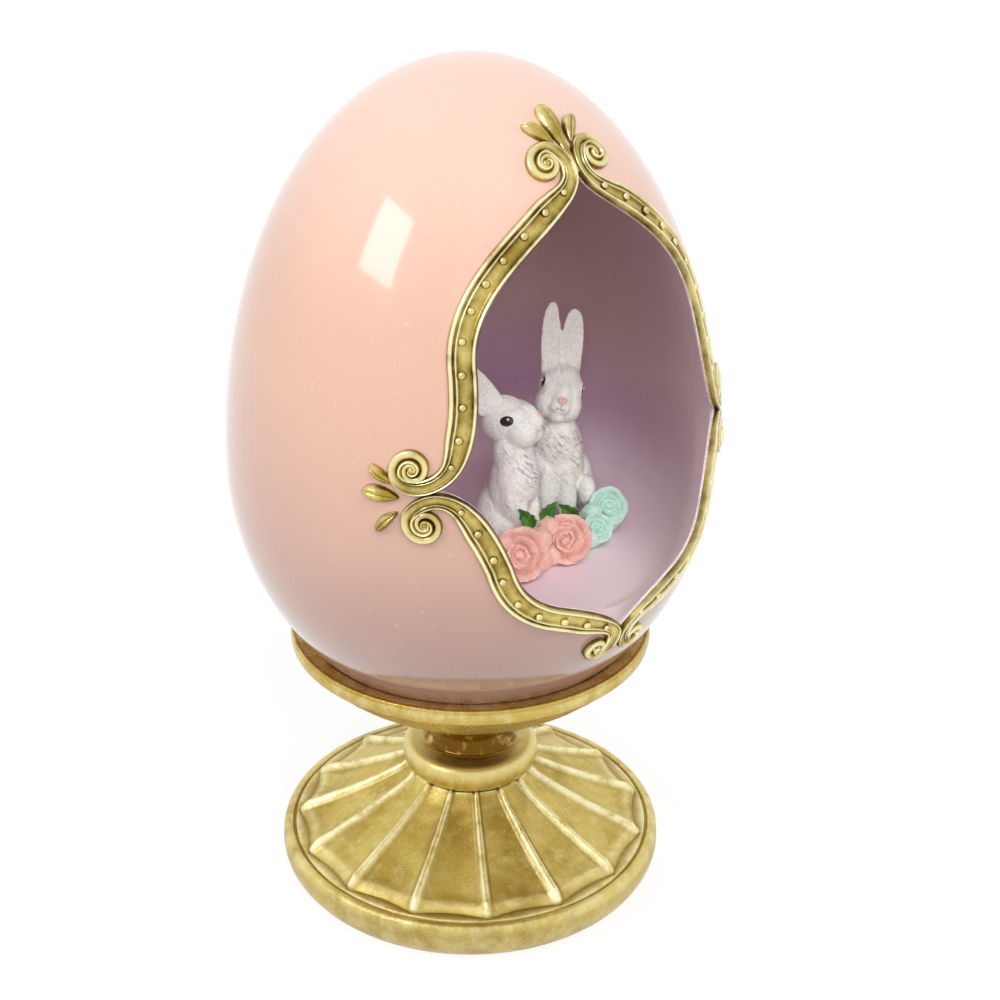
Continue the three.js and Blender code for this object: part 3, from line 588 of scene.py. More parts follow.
def makeFoot():
    form = footForm
    spacing = math.tau / form["flutes"]

    def phaseOf(turn):
        # 0 on a ridge, 1 at the next one
        return ((turn - math.radians(form["turn"])) / spacing) % 1.0

    def spot(radius, turn, height):
        return Vector((radius * math.sin(turn), -radius * math.cos(turn), height))

    def ring(radius, height):
        return [spot(radius, turn, height) for turn in turns]

    turns = [k * math.tau / form["around"] for k in range(form["around"])]
    rise = curve([(form["panelEnd"], form["rim"]), *form["riseHandles"],
                  (form["top"], form["height"] - 0.6)], form["riseRows"])
    rows = [ring(form["bore"], form["boreFloor"]), ring(form["bore"] + 0.2, form["height"] - 0.6),
            ring(form["top"] - 1.4, form["height"] - 0.4)]
    panel = []
    for k, (radius, height) in enumerate(rise):
        share = k / (len(rise) - 1)
        row = []
        for turn in turns:
            phase = phaseOf(turn)
            bow = math.sin(math.pi * phase)
            inner = radius - form["scallop"] * bow ** 0.8 * ease(0.8, 0.0, share)
            aside = min(phase, 1 - phase) * spacing * radius
            wide = blend(form["ridgeFoot"], form["ridgeHead"], share)
            swell = 1 + form["knob"] * math.exp(-((share - 0.92) / 0.04) ** 2)
            ridge = form["ridge"] * swell * math.exp(-(aside / wide) ** 4) * ease(1.0, 0.95, share)
            scoop = form["scoop"] * bow ** 1.4 * ease(1.0, 0.8, share)
            edge = ease(0.0, 0.05, share)
            lift = form["step"] * (0.3 + 0.7 * edge) + ridge * (0.45 + 0.55 * edge)
            lift -= scoop * ease(0.0, 0.12, share)
            row.append(spot(inner, turn, height + lift))
        panel.append(row)
    rows += list(reversed(panel))
    foot = []
    for turn in turns:
        bow = math.sin(math.pi * phaseOf(turn))
        radius = form["panelEnd"] + 0.28 - form["scallop"] * bow ** 0.8
        foot.append(spot(radius, turn, form["rim"] - 0.12))
    rows.append(foot)
    groove, depth = form["groove"], form["grooveDepth"]
    channel = ((-0.5, 0.0), (-0.34, -0.12), (-0.1, -depth), (0.1, -depth), (0.34, -0.1), (0.6, 0.02))
    rows += [ring(groove + aside, form["rim"] + height) for aside, height in channel]
    plinth = curve([(groove + 0.9, form["rim"]), (form["radius"] - 0.4, form["rim"]), (form["radius"], 7.8),
                    (form["radius"], form["waist"]), (form["radius"], 3.2), (form["rest"] + 2.0, 0.9),
                    (form["rest"] + 0.6, 0.25)], 8)
    rows += [ring(radius, height) for radius, height in plinth]
    recess, deep = form["recess"], form["recessDepth"]
    rows += [ring(form["rest"], 0.0), ring(recess + 0.3, 0.0), ring(recess, 0.5), ring(recess, deep),
             ring(0.5, deep)]
    bm = bmesh.new()
    shade, crest = wearAndPaintedLightLayers(bm)
    loft(bm, rows)
    closeUp(bm)
    low = hollowness(bm, 2)
    for vert in bm.verts:
        # gilding pale on the ridges, partly rubbed and partly painted highlight; left flanks, turned to the
        # light, paler as painted highlight; right flanks browner as painted shade; patina in hollows; darker
        # low on the rim
        around = Vector((-vert.co.y, vert.co.x, 0)).normalized()
        tilt = vert.normal.dot(around) * around.dot(paintedLightWay)
        away = math.hypot(vert.co.x, vert.co.y)
        phase = phaseOf(math.atan2(vert.co.x, -vert.co.y))
        inwards = (form["panelEnd"] - away) / (form["panelEnd"] - form["top"])
        wide = blend(form["ridgeFoot"], form["ridgeHead"], inwards)
        ridge = 0.0
        if away < form["panelEnd"]:
            ridge = math.exp(-(min(phase, 1 - phase) * spacing * away / wide) ** 4)
        sunk = low[vert.index]
        vert[crest] = min(1.0, 0.65 * ridge + 0.4 * ease(0.06, 0.5, tilt) + max(0.0, -sunk * 10.0))
        vert[shade] = min(0.7, max(0.0, sunk * 11.0) + 0.55 * ease(0.04, 0.5, -tilt)
                          + 0.3 * ease(8.4, 6.5, vert.co.z))
        # slight unevenness of the casting
        if vert.co.z > 1:
            vert.co += vert.co.normalized() * form["uneven"] * noise.noise(vert.co * 0.35)
    finishPiece("fluted_foot", bm, [footGold], ["base_foot"], crease=50)


# felt disc
feltForm = {"radius": 33.0, "thick": 1.5}


def makeFeltPad():
    bm = bmesh.new()
    radius, thick = feltForm["radius"], feltForm["thick"]
    turned([(0.0, 0.0), (radius - 0.6, 0.0), (radius - 0.1, 0.25), (radius, 0.8),
            (radius - 0.2, thick - 0.05), (0.0, thick)], bm, 96)
    finishPiece("felt_disc", bm, [feltCloth], ["felt_pad"], crease=60)


# spool
spoolForm = {
    "base": 22.3, "top": 38.8, "foot": 11.6, "collar": 14.3, "waist": 8.6, "head": 12.2, "spigot": 4.9,
}


def makeSpool():
    form = spoolForm
    low, high, spigot = form["base"], form["top"], form["spigot"]
    collar, waist = form["collar"], form["waist"]
    profile = [(spigot, low - 4.0), (spigot, low), (form["foot"] - 0.4, low)]
    profile += curve([
        (form["foot"], low + 0.1), (collar - 0.9, low + 0.6), (collar, low + 2.0),
        (collar, low + 3.6), (collar, low + 5.2), (collar - 0.5, low + 6.3),
        (collar - 1.7, low + 6.5), (collar - 2.7, low + 6.65), (waist + 1.0, low + 6.3),
        (waist + 0.5, low + 8.0), (waist, low + 9.6), (waist + 0.2, low + 12.6),
        (waist + 1.5, low + 14.6), (waist + 2.2, low + 15.6), (form["head"] - 0.5, high - 0.4),
        (form["head"], high)], 12)
    profile += [(spigot, high), (spigot, high + 1.4), (0.01, high + 1.4)]
    bm = bmesh.new()
    turned(profile, bm, 144)
    finishPiece("turned_spool", bm, [spoolGold], ["stem_spool"], crease=45)


# cup
cupForm = {
    "base": 39.1, "rim": 57.5, "radius": 36.9, "band": 3.4, "flange": 13.2, "lip": 33.3, "socket": 5.4,
    "seat": (55.8, 54.2, 52.0, 49.0, 46.0, 44.0, 42.6), "seatFloor": 42.0, "seatGap": 0.15,
    "roughness": 0.14,
}


def makeCup():
    form = cupForm
    rim, radius, bandFoot = form["rim"], form["radius"], form["rim"] - form["band"]
    base, socket, flange = form["base"], form["socket"], form["flange"]
    profile = [(socket, base + 1.5), (socket, base), (flange - 0.3, base)]
    profile += curve([
        (flange, base + 0.2), (21.0, base + 2.4), (29.9, bandFoot - 7.0), (radius - 0.9, bandFoot - 0.2),
        (radius - 0.75, bandFoot - 0.05), (radius - 0.5, bandFoot - 0.2), (radius - 0.3, bandFoot + 0.1),
        (radius + 0.1, bandFoot + 0.5), (radius + 0.2, bandFoot + 1.4), (radius + 0.05, rim - 1.0),
        (radius + 0.02, rim - 0.8), (radius - 0.1, rim - 0.75), (radius - 0.08, rim - 0.6),
        (radius + 0.1, rim - 0.4), (radius + 0.05, rim - 0.02), (radius - 0.3, rim),
        (radius - 0.5, rim), (radius - 0.5, rim - 0.1), (radius - 0.75, rim - 0.14),
        (radius - 1.6, rim - 0.3), (form["lip"] + 0.6, rim - 0.42), (form["lip"], rim - 0.6)], 7)
    # the seat follows the egg
    profile += [(eggRadiusAt(z, form["seatGap"]), z) for z in form["seat"]]
    profile += [(0.01, form["seatFloor"])]
    bm = bmesh.new()
    shade, crest = wearAndPaintedLightLayers(bm)
    turned(profile, bm, 300)
    for vert in bm.verts:
        away = math.hypot(vert.co.x, vert.co.y)
        # the underside is left rough from the mould and darker, the lip inside the rim is painted pale as a
        # painted highlight against the egg's dark reflection in it, and the band pales towards its top
        if vert.co.z < bandFoot - 0.1 and away > 14:
            outward = Vector((vert.co.x, vert.co.y, -10)).normalized()
            vert.co += outward * form["roughness"] * noise.noise(vert.co * 1.3)
            vert[shade] = 0.35
        elif away < radius - 0.8:
            vert[crest] = 0.55
        elif bandFoot + 0.3 < vert.co.z < rim - 0.9:
            vert[crest] = 0.25 * ease(bandFoot + 0.3, rim - 1.2, vert.co.z)
    finishPiece("banded_cup", bm, [cupGold], ["egg_cup"], crease=40)


# shell of the egg
shellForm = {
    "steps": 44, "outerRows": 74, "innerRows": 112, "heart": 108.0, "flare": 13.0, "flareRows": 16,
    "lip": 0.3, "edge": 0.05, "floorFlare": 0.35, "paintedEdgeLight": 0.85, "fadeRows": 46,
}


def hollowRadius(z):
    floor, cove = eggForm["floor"], eggForm["cove"]
    if z >= floor + cove:
        return eggRadiusAt(z, -eggForm["wall"])
    rest = eggRadiusAt(floor + cove, -eggForm["wall"]) - cove
    return rest + math.sqrt(max(0.0, cove ** 2 - (floor + cove - z) ** 2))


def toSphere(p, grow):
    wide = eggForm["radius"] + grow
    return Vector((p.x / wide, p.y / wide, (p.z - eggForm["middle"]) / eggHalf(p.z, grow))).normalized()


def fromSphere(d, grow):
    wide = eggForm["radius"] + grow
    tall = (eggForm["upper"] if d.z > 0 else eggForm["lower"]) + grow
    return Vector((d.x * wide, d.y * wide, eggForm["middle"] + d.z * tall))


def floored(p):
    # inner skin with its flat floor and cove
    floor, cove = eggForm["floor"], eggForm["cove"]
    if p.z >= floor + cove:
        return p
    rest = eggRadiusAt(floor + cove, -eggForm["wall"]) - cove
    away = min(cove, max(0.0, math.hypot(p.x, p.y) - rest))
    return Vector((p.x, p.y, floor + cove - math.sqrt(cove ** 2 - away ** 2)))


def makeShell():
    form = shellForm
    half = openingRun(upperRun, form["steps"]) + openingRun(lowerRun, form["steps"])[1:]
    rim = [onOpening(p, 1) for p in half] + [onOpening(p, -1) for p in reversed(half[1:-1])]
    heart = toSphere(onFront(0, form["heart"]), 0)
    wall, floor = -eggForm["wall"], eggForm["floor"]

    def spoke(p, grow):
        d = toSphere(p, grow)
        angle = heart.angle(d)
        return angle, (d - heart * math.cos(angle)).normalized()

    def outerSpot(angle, side):
        return fromSphere(heart * math.cos(angle) + side * math.sin(angle), 0.0)

    def innerSpot(angle, side):
        return floored(fromSphere(heart * math.cos(angle) + side * math.sin(angle), wall))

    outer = []
    spokes = [spoke(p, 0.0) for p in rim]
    for k in range(form["outerRows"] + 1):
        share = k / form["outerRows"]
        outer.append([outerSpot(angle + (math.pi - angle) * share, side) for angle, side in spokes])
    # the lip stands up behind the border's inner rail, then the wall swells to its full thickness
    step = form["flare"] / (eggForm["radius"] + wall)
    spokes, columns = [], []
    for p in rim:
        back = Vector((p.x, -math.sqrt(hollowRadius(p.z) ** 2 - p.x ** 2), p.z))
        deep = back.copy()
        if p.z < floor + eggForm["cove"]:
            flat = math.hypot(back.x, back.y) / (eggForm["radius"] + wall)
            deep.z = eggForm["middle"] - (eggForm["lower"] + wall) * math.sqrt(1 - flat ** 2)
        angle, side = spoke(deep, wall)
        reach = step * blend(form["floorFlare"], 1.0, ease(floor, floor + 16, p.z))
        spokes.append((angle + reach, side))
        outAngle, outSide = spoke(p, 0.0)
        column = [p, p + eggNormal(p) * form["lip"]]
        for k in range(form["flareRows"] + 1):
            share = k / form["flareRows"]
            depth = 1 - (1 - form["edge"]) * (1 - share) ** 1.6
            skin = outerSpot(outAngle + share * reach, outSide)
            spot = skin.lerp(innerSpot(angle + share * reach, side), depth)
            column.append(Vector((spot.x, spot.y, max(spot.z, floor))))
        columns.append(column)
    inner = [list(row) for row in zip(*columns)]
    for k in range(1, form["innerRows"] + 1):
        share = k / form["innerRows"]
        inner.append([innerSpot(angle + (math.pi - angle) * share, side) for angle, side in spokes])
    bm = bmesh.new()
    loft(bm, outer)
    pale = bm.verts.layers.float.new("pale")
    # painted light: the lilac is painted paler by the opening, where light falls on the lip, and deepens
    # inwards
    for k, vert in enumerate(loft(bm, inner, 1)):
        past = max(0, k // len(rim) - len(columns[0]))
        vert[pale] = form["paintedEdgeLight"] * max(0.0, 1 - past / form["fadeRows"]) ** 1.5
    closeUp(bm, 0.002)
    finishPiece("egg_shell_painted", bm, [lacquer, lilac], ["egg_shell"], crease=50)


# border strips
borderForm = {
    "width": 5.0, "height": 1.6, "setback": 0.1, "taper": 12.0, "step": 0.5, "lead": 0.4, "overlap": 1.85,
    "volute": {"top": 5.0, "side": 5.1, "bottom": 4.2}, "turns": 2.1, "startHalf": 1.4, "tipHalf": 0.45,
    "startHeight": 1.44, "tipHeight": 1.35, "turnSteps": 32, "packing": 0.94,
    "boss": 0.75, "bossLift": 0.7, "bead": 0.78, "upperBeads": 11, "lowerBeads": 9,
    # how far the eyes of the volutes lie beyond their cusp and beside it
    "eyes": {"top": (3.5, 5.4), "side_upper": (4.6, 4.1), "side_lower": (3.2, 6.0), "bottom": (4.2, 4.4)},
}
# across from the opening's edge outwards: height, patina and polish of the band, then of the volute; the
# patina includes painted shade on the flanks, the polish painted highlight on the rails' tops
borderSection = (
    (-1.0, (-0.1, 0.9, 0.0), (-0.1, 0.9, 0.0)), (-1.02, (0.45, 0.8, 0.0), (0.3, 0.8, 0.0)),
    (-0.98, (0.8, 0.45, 0.1), (0.52, 0.5, 0.0)), (-0.9, (0.96, 0.0, 1.0), (0.66, 0.2, 0.1)),
    (-0.8, (0.94, 0.0, 0.7), (0.74, 0.1, 0.3)), (-0.71, (0.78, 0.5, 0.0), (0.79, 0.0, 0.5)),
    (-0.64, (0.58, 0.95, 0.0), (0.82, 0.0, 0.6)), (-0.5, (0.52, 0.5, 0.0), (0.84, 0.0, 0.6)),
    (-0.2, (0.5, 0.2, 0.1), (0.84, 0.0, 0.4)), (0.08, (0.46, 0.4, 0.0), (0.76, 0.2, 0.0)),
    (0.24, (0.46, 0.9, 0.0), (0.58, 0.8, 0.0)), (0.32, (0.62, 0.3, 0.2), (0.5, 1.0, 0.0)),
    (0.4, (0.7, 0.0, 0.9), (0.6, 0.8, 0.0)), (0.47, (0.64, 0.1, 0.4), (0.82, 0.3, 0.3)),
    (0.53, (0.4, 1.0, 0.0), (1.0, 0.0, 0.7)), (0.6, (0.4, 1.0, 0.0), (1.1, 0.0, 1.0)),
    (0.66, (0.64, 0.1, 0.4), (1.15, 0.0, 1.0)), (0.75, (0.74, 0.0, 1.0), (1.15, 0.0, 0.9)),
    (0.86, (0.7, 0.0, 0.8), (1.05, 0.1, 0.5)), (0.96, (0.52, 0.2, 0.1), (0.8, 0.4, 0.0)),
    (1.02, (0.26, 0.7, 0.0), (0.36, 0.9, 0.0)), (1.0, (-0.1, 1.0, 0.0), (-0.1, 1.0, 0.0)),
)


def paintLightOver(bm, shade, crest):
    # painted light: flanks turned towards the light come out paler as a painted highlight, those turned away
    # browner as a painted shade
    bm.normal_update()
    for vert in bm.verts:
        normal = eggNormal(vert.co)
        tilt = (vert.normal - normal * vert.normal.dot(normal)).dot(paintedLightWay)
        vert[crest] = min(1.0, vert[crest] + 0.6 * ease(0.15, 0.6, tilt) * (1 - vert[shade]))
        vert[shade] = min(1.0, vert[shade] + 0.55 * ease(0.15, 0.7, -tilt))


def cuspFrame(name, side):
    point = onOpening(Vector(openingForm[name]["spot"]), side)
    normal = eggNormal(point)
    outward = {"top": up, "bottom": -up, "side": Vector((side, 0, 0))}[name]
    along = (outward - normal * outward.dot(normal)).normalized()
    across = up if name == "side" else Vector((1, 0, 0))
    across = across - normal * across.dot(normal)
    across = (across - along * across.dot(along)).normalized()
    return {"name": name, "point": point, "along": along, "across": across, "normal": normal}


def spread(cusp, ahead, aside):
    return onEgg(cusp["point"] + cusp["along"] * ahead + cusp["across"] * aside)


# a stop of a strip: middle, half width, height, and how far the section has turned into that of a volute
def voluteStops(cusp, sign, eye):
    form = borderForm
    count = int(form["turns"] * form["turnSteps"])
    radius = form["volute"][cusp["name"]] - form["startHalf"]
    stops = []
    for k in range(count + 1):
        share = k / count
        turn = share * form["turns"] * math.tau
        half = blend(form["startHalf"], form["tipHalf"], share)
        spot = spread(cusp, eye[0] + radius * math.sin(turn), sign * (eye[1] - radius * math.cos(turn)))
        height = blend(form["startHeight"], form["tipHeight"], share)
        stops.append((spot, half, height, ease(0.0, 0.12, share)))
        radius -= 2 * half * form["packing"] * form["turns"] / count
    return stops


def leadStop(cusp, sign, eye):
    form = borderForm
    aside = form["startHalf"] - form["overlap"] + (eye[1] - form["volute"][cusp["name"]]) * 0.2
    spot = spread(cusp, eye[0] * form["lead"], sign * aside)
    return spot, form["startHalf"], form["startHeight"], 0.3


def bandStops(names, side):
    form = borderForm
    spots = [onOpening(p, side) for p in openingRun(names, 60)]
    marks = [0.0]
    for a, b in zip(spots, spots[1:]):
        marks.append(marks[-1] + (b - a).length)
    inside = onFront(0, eggForm["middle"] + openingForm["side"]["spot"][1])
    stops, last = [], 0.0
    for k in range(1, len(spots) - 1):
        toEnd = marks[-1] - marks[k]
        if marks[k] - last < form["step"] or toEnd < form["step"]:
            continue
        last = marks[k]
        out = (spots[k + 1] - spots[k - 1]).cross(eggNormal(spots[k])).normalized()
        if out.dot(spots[k] - inside) < 0:
            out.negate()
        full = ease(0.0, form["taper"], min(marks[k], toEnd))
        half = blend(form["startHalf"], form["width"] / 2, full)
        height = blend(form["startHeight"], form["height"], full)
        stops.append((onEgg(spots[k] + out * (half + form["setback"])), half, height, 0.0))
    return stops


def easeKinks(stops, joints, passes, reach):
    # rounds the turn from a band into its volute and leaves the spirals alone
    for _ in range(passes):
        eased = list(stops)
        for k in range(1, len(stops) - 1):
            hold = 0.5 * ease(reach, reach * 0.4, min(abs(k - joint) for joint in joints))
            before, here, after = stops[k - 1:k + 2]
            spot = onEgg(here[0].lerp((before[0] + after[0]) / 2, hold))
            sizes = zip(before[1:], here[1:], after[1:])
            eased[k] = (spot, *[blend(b, (a + c) / 2, hold) for a, b, c in sizes])
        stops = eased
    return stops


def sweepStrip(bm, stops, outward):
    order = bm.verts.layers.int.new("order")
    shade, crest = wearAndPaintedLightLayers(bm)
    rings = []
    for k, (point, half, height, coil) in enumerate(stops):
        before, after = stops[max(0, k - 1)][0], stops[min(len(stops) - 1, k + 1)][0]
        normal = eggNormal(point)
        across = (after - before).cross(normal).normalized() * outward
        uneven = height * (1 + 0.06 * noise.noise(point * 0.6))
        rings.append([point + across * u * half + normal * blend(band[0], volute[0], coil) * uneven
                      for u, band, volute in borderSection])
    for k, vert in enumerate(loft(bm, rings)):
        _, band, volute = borderSection[vert[order]]
        coil = stops[k // len(borderSection)][3]
        vert[shade], vert[crest] = blend(band[1], volute[1], coil), blend(band[2], volute[2], coil)
    capEnds(bm)
    return shade, crest


def makeStrip(name, node, names, side, ends, beads):
    form = borderForm
    bm = bmesh.new()
    start, finish = ends
    opening = list(reversed(voluteStops(*start)))
    band = bandStops(names, side)
    stops = opening + [leadStop(*start)] + band + [leadStop(*finish)] + voluteStops(*finish)
    first, last = len(opening), len(opening) + len(band) + 1
    stops = easeKinks(stops, (first, last), passes=10, reach=8)
    run = stops[first + 1:last]
    middle = run[len(run) // 2]
    across = (run[len(run) // 2 + 1][0] - middle[0]).cross(eggNormal(middle[0]))
    inside = onFront(0, eggForm["middle"] + openingForm["side"]["spot"][1])
    shade, crest = sweepStrip(bm, stops, 1 if across.dot(middle[0] - inside) > 0 else -1)
    marks = [0.0]
    for a, b in zip(run, run[1:]):
        marks.append(marks[-1] + (b[0] - a[0]).length)
    for k in range(beads):
        mark = marks[-1] * (k + 0.85) / (beads + 0.7)
        point, half, height, _ = run[min(range(len(run)), key=lambda i: abs(marks[i] - mark))]
        size = form["bead"] * min(1.0, half / 2.2) * (1 + 0.06 * chance.uniform(-1, 1))
        lift = eggNormal(point) * height * 0.5
        for vert in addBall(bm, Matrix.Translation(point + lift), size, around=16, rows=10):
            # painted shade with patina round the foot of each bead, a touch of painted highlight on top
            low = (vert.co - point - lift).dot(lift) < 0.35 * size * height * 0.5
            vert[shade], vert[crest] = (1.0, 0.0) if low else (0.0, 0.3)
    for cusp, sign, eye in ends:
        spot = spread(cusp, eye[0], sign * eye[1])
        boss = Matrix.Translation(spot + eggNormal(spot) * form["bossLift"])
        addBall(bm, boss, form["boss"], around=16, rows=10)
    bmesh.ops.recalc_face_normals(bm, faces=bm.faces)
    paintLightOver(bm, shade, crest)
    finishPiece(name, bm, [brightGold], [node], crease=55)


# leaves of the sprays
sprayForm = {
    "top": {"start": 5.6, "middle": 10.6, "side": 7.6, "width": 3.8, "sideWidth": 2.7, "aside": 1.9,
            "ahead": 0.6, "fan": 30, "tilt": 0, "drop": 0.0, "stalk": 5.2},
    "side": {"start": 7.4, "middle": 7.2, "side": 5.8, "width": 3.1, "sideWidth": 2.1, "aside": 2.7,
             "ahead": 0.5, "fan": 38, "tilt": 13, "drop": 1.0, "stalk": 0.0},
    "height": 1.6, "bend": 0.35, "rows": 36,
}
# half of a leaf's section, from its edge to its vein
leafHalf = ((1.0, -0.2), (1.0, 0.12), (0.86, 0.52), (0.62, 0.82), (0.32, 0.97), (0.1, 0.9))
leafSection = [(-u, h) for u, h in leafHalf] + [(0.0, 0.8)] + list(reversed(leafHalf)) + [(0.0, -0.3)]


def makeSprayLeaf(node, cusp, form, fan):
    bm = bmesh.new()
    shade, crest = wearAndPaintedLightLayers(bm)
    # the middle leaf of the top spray has a stalk between the volutes
    stalk = form["stalk"] if fan == 0 else 0.0
    ahead = form["start"] - stalk + abs(fan) * form["ahead"]
    base = spread(cusp, ahead, fan * form["aside"] - form["drop"])
    hand = 1 if cusp["along"].cross(cusp["across"]).dot(cusp["normal"]) > 0 else -1
    turn = fan * form["fan"] if fan else form["tilt"]
    direction = Matrix.Rotation(hand * math.radians(turn), 3, cusp["normal"]) @ cusp["along"]
    length, width = (form["side"], form["sideWidth"]) if fan else (form["middle"], form["width"])
    rings = []
    for k in range(sprayForm["rows"] + 1):
        away = k / sprayForm["rows"] * (length + stalk)
        share = clip((away - stalk) / length)
        # pointed at the foot, rounded at the tip
        swell = max(0.03, 1.64 * share ** 0.6 * (1 - share ** 2.6) ** 0.6)
        if stalk:
            swell = max(swell, 0.42 * ease(length * 0.5, 0.0, away - stalk))
        spot = onEgg(base + direction * away)
        normal = eggNormal(spot)
        across = normal.cross(direction).normalized()
        bend = across * sprayForm["bend"] * fan * math.sin(math.pi * share)
        rise = sprayForm["height"] * (0.25 + 0.75 * swell)
        rings.append([spot + bend + across * u * swell * width / 2 + normal * h * rise
                      for u, h in leafSection])
    loft(bm, rings)
    capEnds(bm)
    bmesh.ops.recalc_face_normals(bm, faces=bm.faces)
    for vert in bm.verts:
        # patina and painted shade on the skin lying against the egg, a light dulling elsewhere
        vert[shade] = 0.7 if (vert.co - onEgg(vert.co)).length < 0.4 else 0.15
    paintLightOver(bm, shade, crest)
    finishPiece("gold_" + node, bm, [brightGold], [node], crease=55)


# sculpted pieces: rough masses fused into one skin, then worked over
def addMass(bm, place, half, turn=None):
    turn = turn or Matrix.Identity(4)
    return addBall(bm, Matrix.Translation(place) @ turn @ Matrix.Diagonal((*half, 1)))


def fuse(bm, voxel, passes):
    mesh = bpy.data.meshes.new("rough")
    bm.to_mesh(mesh)
    bm.free()
    rough = bpy.data.objects.new("rough", mesh)
    scene.collection.objects.link(rough)
    skinning = rough.modifiers.new("skin", "REMESH")
    skinning.mode = "VOXEL"
    skinning.voxel_size = voxel
    skin = bpy.data.meshes.new_from_object(rough.evaluated_get(bpy.context.evaluated_depsgraph_get()))
    bpy.data.objects.remove(rough)
    out = bmesh.new()
    out.from_mesh(skin)
    for _ in range(passes):
        bmesh.ops.smooth_vert(out, verts=out.verts, factor=0.5,
                              use_axis_x=True, use_axis_y=True, use_axis_z=True)
    out.normal_update()
    return out


groundLevel = 75.15
# body and limbs: middles and half sizes in the body's own frame, x to the chest, y to its left
# ears turn with the head's yaw alone
rabbitForm = {
    "rabbit_tall": {
        "place": (19.2, -2.1), "bodyYaw": -118,
        "head": {"spot": (19.41, -3.33, 104.25), "size": 1.0, "yaw": -121.35, "pitch": -7.2, "roll": -14.1,
                 "eyesAhead": 0.8, "smile": (1.2, 0.15)},
        "ears": (
            {"base": (-1.3, -1.8, 3.0), "length": 15.2, "width": 4.4, "tip": 8.0,
             "tilt": 2, "lean": 6, "turn": 0},
            {"base": (-2.2, 2.3, 2.4), "length": 13.9, "width": 4.8, "tip": 11.0,
             "tilt": 4, "lean": 6, "turn": 12},
        ),
        "body": (
            ((-2.5, 0, 8.5), (7.2, 6.8, 8.6)), ((0.0, 0.3, 13.4), (5.6, 6.0, 11.8)),
            ((1.7, 0, 18.5), (4.3, 4.9, 7.6)), ((0.6, 0, 24.6), (3.8, 4.0, 5.0)),
            ((-8.8, 0, 4.2), (2.4, 2.4, 2.4)),
        ),
        "limbs": (
            ((-3.0, 6.2, 7.4), (4.8, 2.5, 6.2)), ((4.6, 4.8, 1.5), (4.2, 1.7, 1.7)),
            ((4.8, 2.2, 7.2), (1.9, 1.9, 8.4)), ((5.7, 2.2, 1.3), (2.3, 1.7, 1.5)),
            ((2.3, 3.5, 14.5), (2.8, 2.1, 5.0)), ((3.4, 6.4, 8.2), (3.2, 1.9, 3.2)),
        ),
    },
    "rabbit_small": {
        "place": (3.4, -9.1), "bodyYaw": -72,
        "head": {"spot": (3.3, -8.65, 103.66), "size": 0.98, "yaw": -46, "pitch": -20, "roll": 0,
                 "eyesAhead": 0.0, "smile": (2.5, 0.03)},
        "ears": (
            {"base": (-3.2, -2.0, 3.6), "length": 13.0, "width": 7.0, "tip": 4.0,
             "tilt": -10, "lean": 40, "turn": -62},
            {"base": (-3.3, 1.4, 3.4), "length": 12.4, "width": 5.6, "tip": 4.0,
             "tilt": 3, "lean": 42, "turn": 40},
        ),
        "body": (
            ((-2.0, 0, 8.0), (5.6, 5.2, 8.0)), ((0.0, 0, 13.5), (4.5, 4.6, 10.6)),
            ((1.4, 0, 17.0), (4.3, 4.8, 7.2)), ((0.4, 0, 22.6), (4.0, 4.3, 5.2)),
            ((-6.6, 0, 4.0), (1.9, 1.9, 1.9)),
        ),
        "limbs": (
            ((-1.6, 3.6, 6.0), (4.5, 2.2, 5.8)), ((3.8, 3.8, 1.4), (3.3, 1.4, 1.5)),
            ((4.0, 1.9, 6.8), (1.7, 1.6, 7.6)), ((4.8, 1.9, 1.2), (2.0, 1.4, 1.3)),
            ((1.9, 3.0, 13.4), (2.4, 1.8, 4.6)),
        ),
    },
}
# middle and half size in the head's own frame, x towards the nose; the second list comes on both sides
headMasses = (
    ((-1.0, 0, 1.0), (4.9, 4.4, 4.7)), ((2.1, 0, 0.5), (3.9, 2.6, 2.9)),
    ((3.8, 0, -1.2), (2.9, 2.4, 2.4)), ((3.1, 0, -3.6), (2.7, 2.2, 2.1)),
    ((0.5, 0, -2.6), (3.8, 3.4, 3.4)),
)
pairedMasses = (
    ((2.1, 2.4, -2.1), (3.2, 2.4, 3.1)), ((4.6, 0.9, -1.8), (1.9, 1.4, 1.5)),
    ((0.9, 3.1, 2.7), (1.7, 1.1, 0.8)), ((1.7, 1.9, 0.5), (3.0, 2.3, 2.9)),
)
eyeForm = {"spot": (0.7, 4.1, 1.7), "half": (1.5, 0.62, 1.15), "lid": 0.4, "socket": 0.5, "glint": 0.26}
faceForm = {
    "noseAhead": 6.4, "noseUp": -0.2, "noseLift": 0.3,
    "mouthUp": -2.25, "mouthWide": 0.2, "mouthDeep": 0.24,
}
furForm = {
    "white": (248, 248, 240), "grey": (148, 146, 140), "pink": (236, 172, 162), "mouth": (176, 124, 114),
    "stroke": 0.08, "skin": 0.2, "smoothing": 16, "earFold": 0.45,
}


def earRings(form, hand):
    rings = []
    count = 20
    for k in range(count + 1):
        share = math.sin(k / count * math.pi / 2)
        close = math.sqrt(max(0.0, 1 - 0.985 * share ** form["tip"]))
        swell = (0.82 + 0.18 * math.sin(math.pi * min(1, share * 1.05))) * close
        half = form["width"] / 2 * swell
        thick = (1.1 - 0.45 * share) * (0.5 + 0.5 * swell)
        ring = []
        for j in range(24):
            a = j / 24 * math.tau
            y, x = half * math.sin(a), thick * math.cos(a)
            dish = 0.8 * (1 - (y / max(half, 0.01)) ** 2) * ease(0.1, 0.35, share) * swell
            inward = dish * (1.0 if math.cos(a) > 0 else 0.55)
            ring.append(Vector((x - inward, y * hand, form["length"] * share)))
        rings.append(ring)
    return rings


def bothSides(single, paired):
    masses = [(Vector(place), half) for place, half in single]
    for (x, y, z), half in paired:
        masses += [(Vector((x, y * hand, z)), half) for hand in (-1, 1)]
    return masses


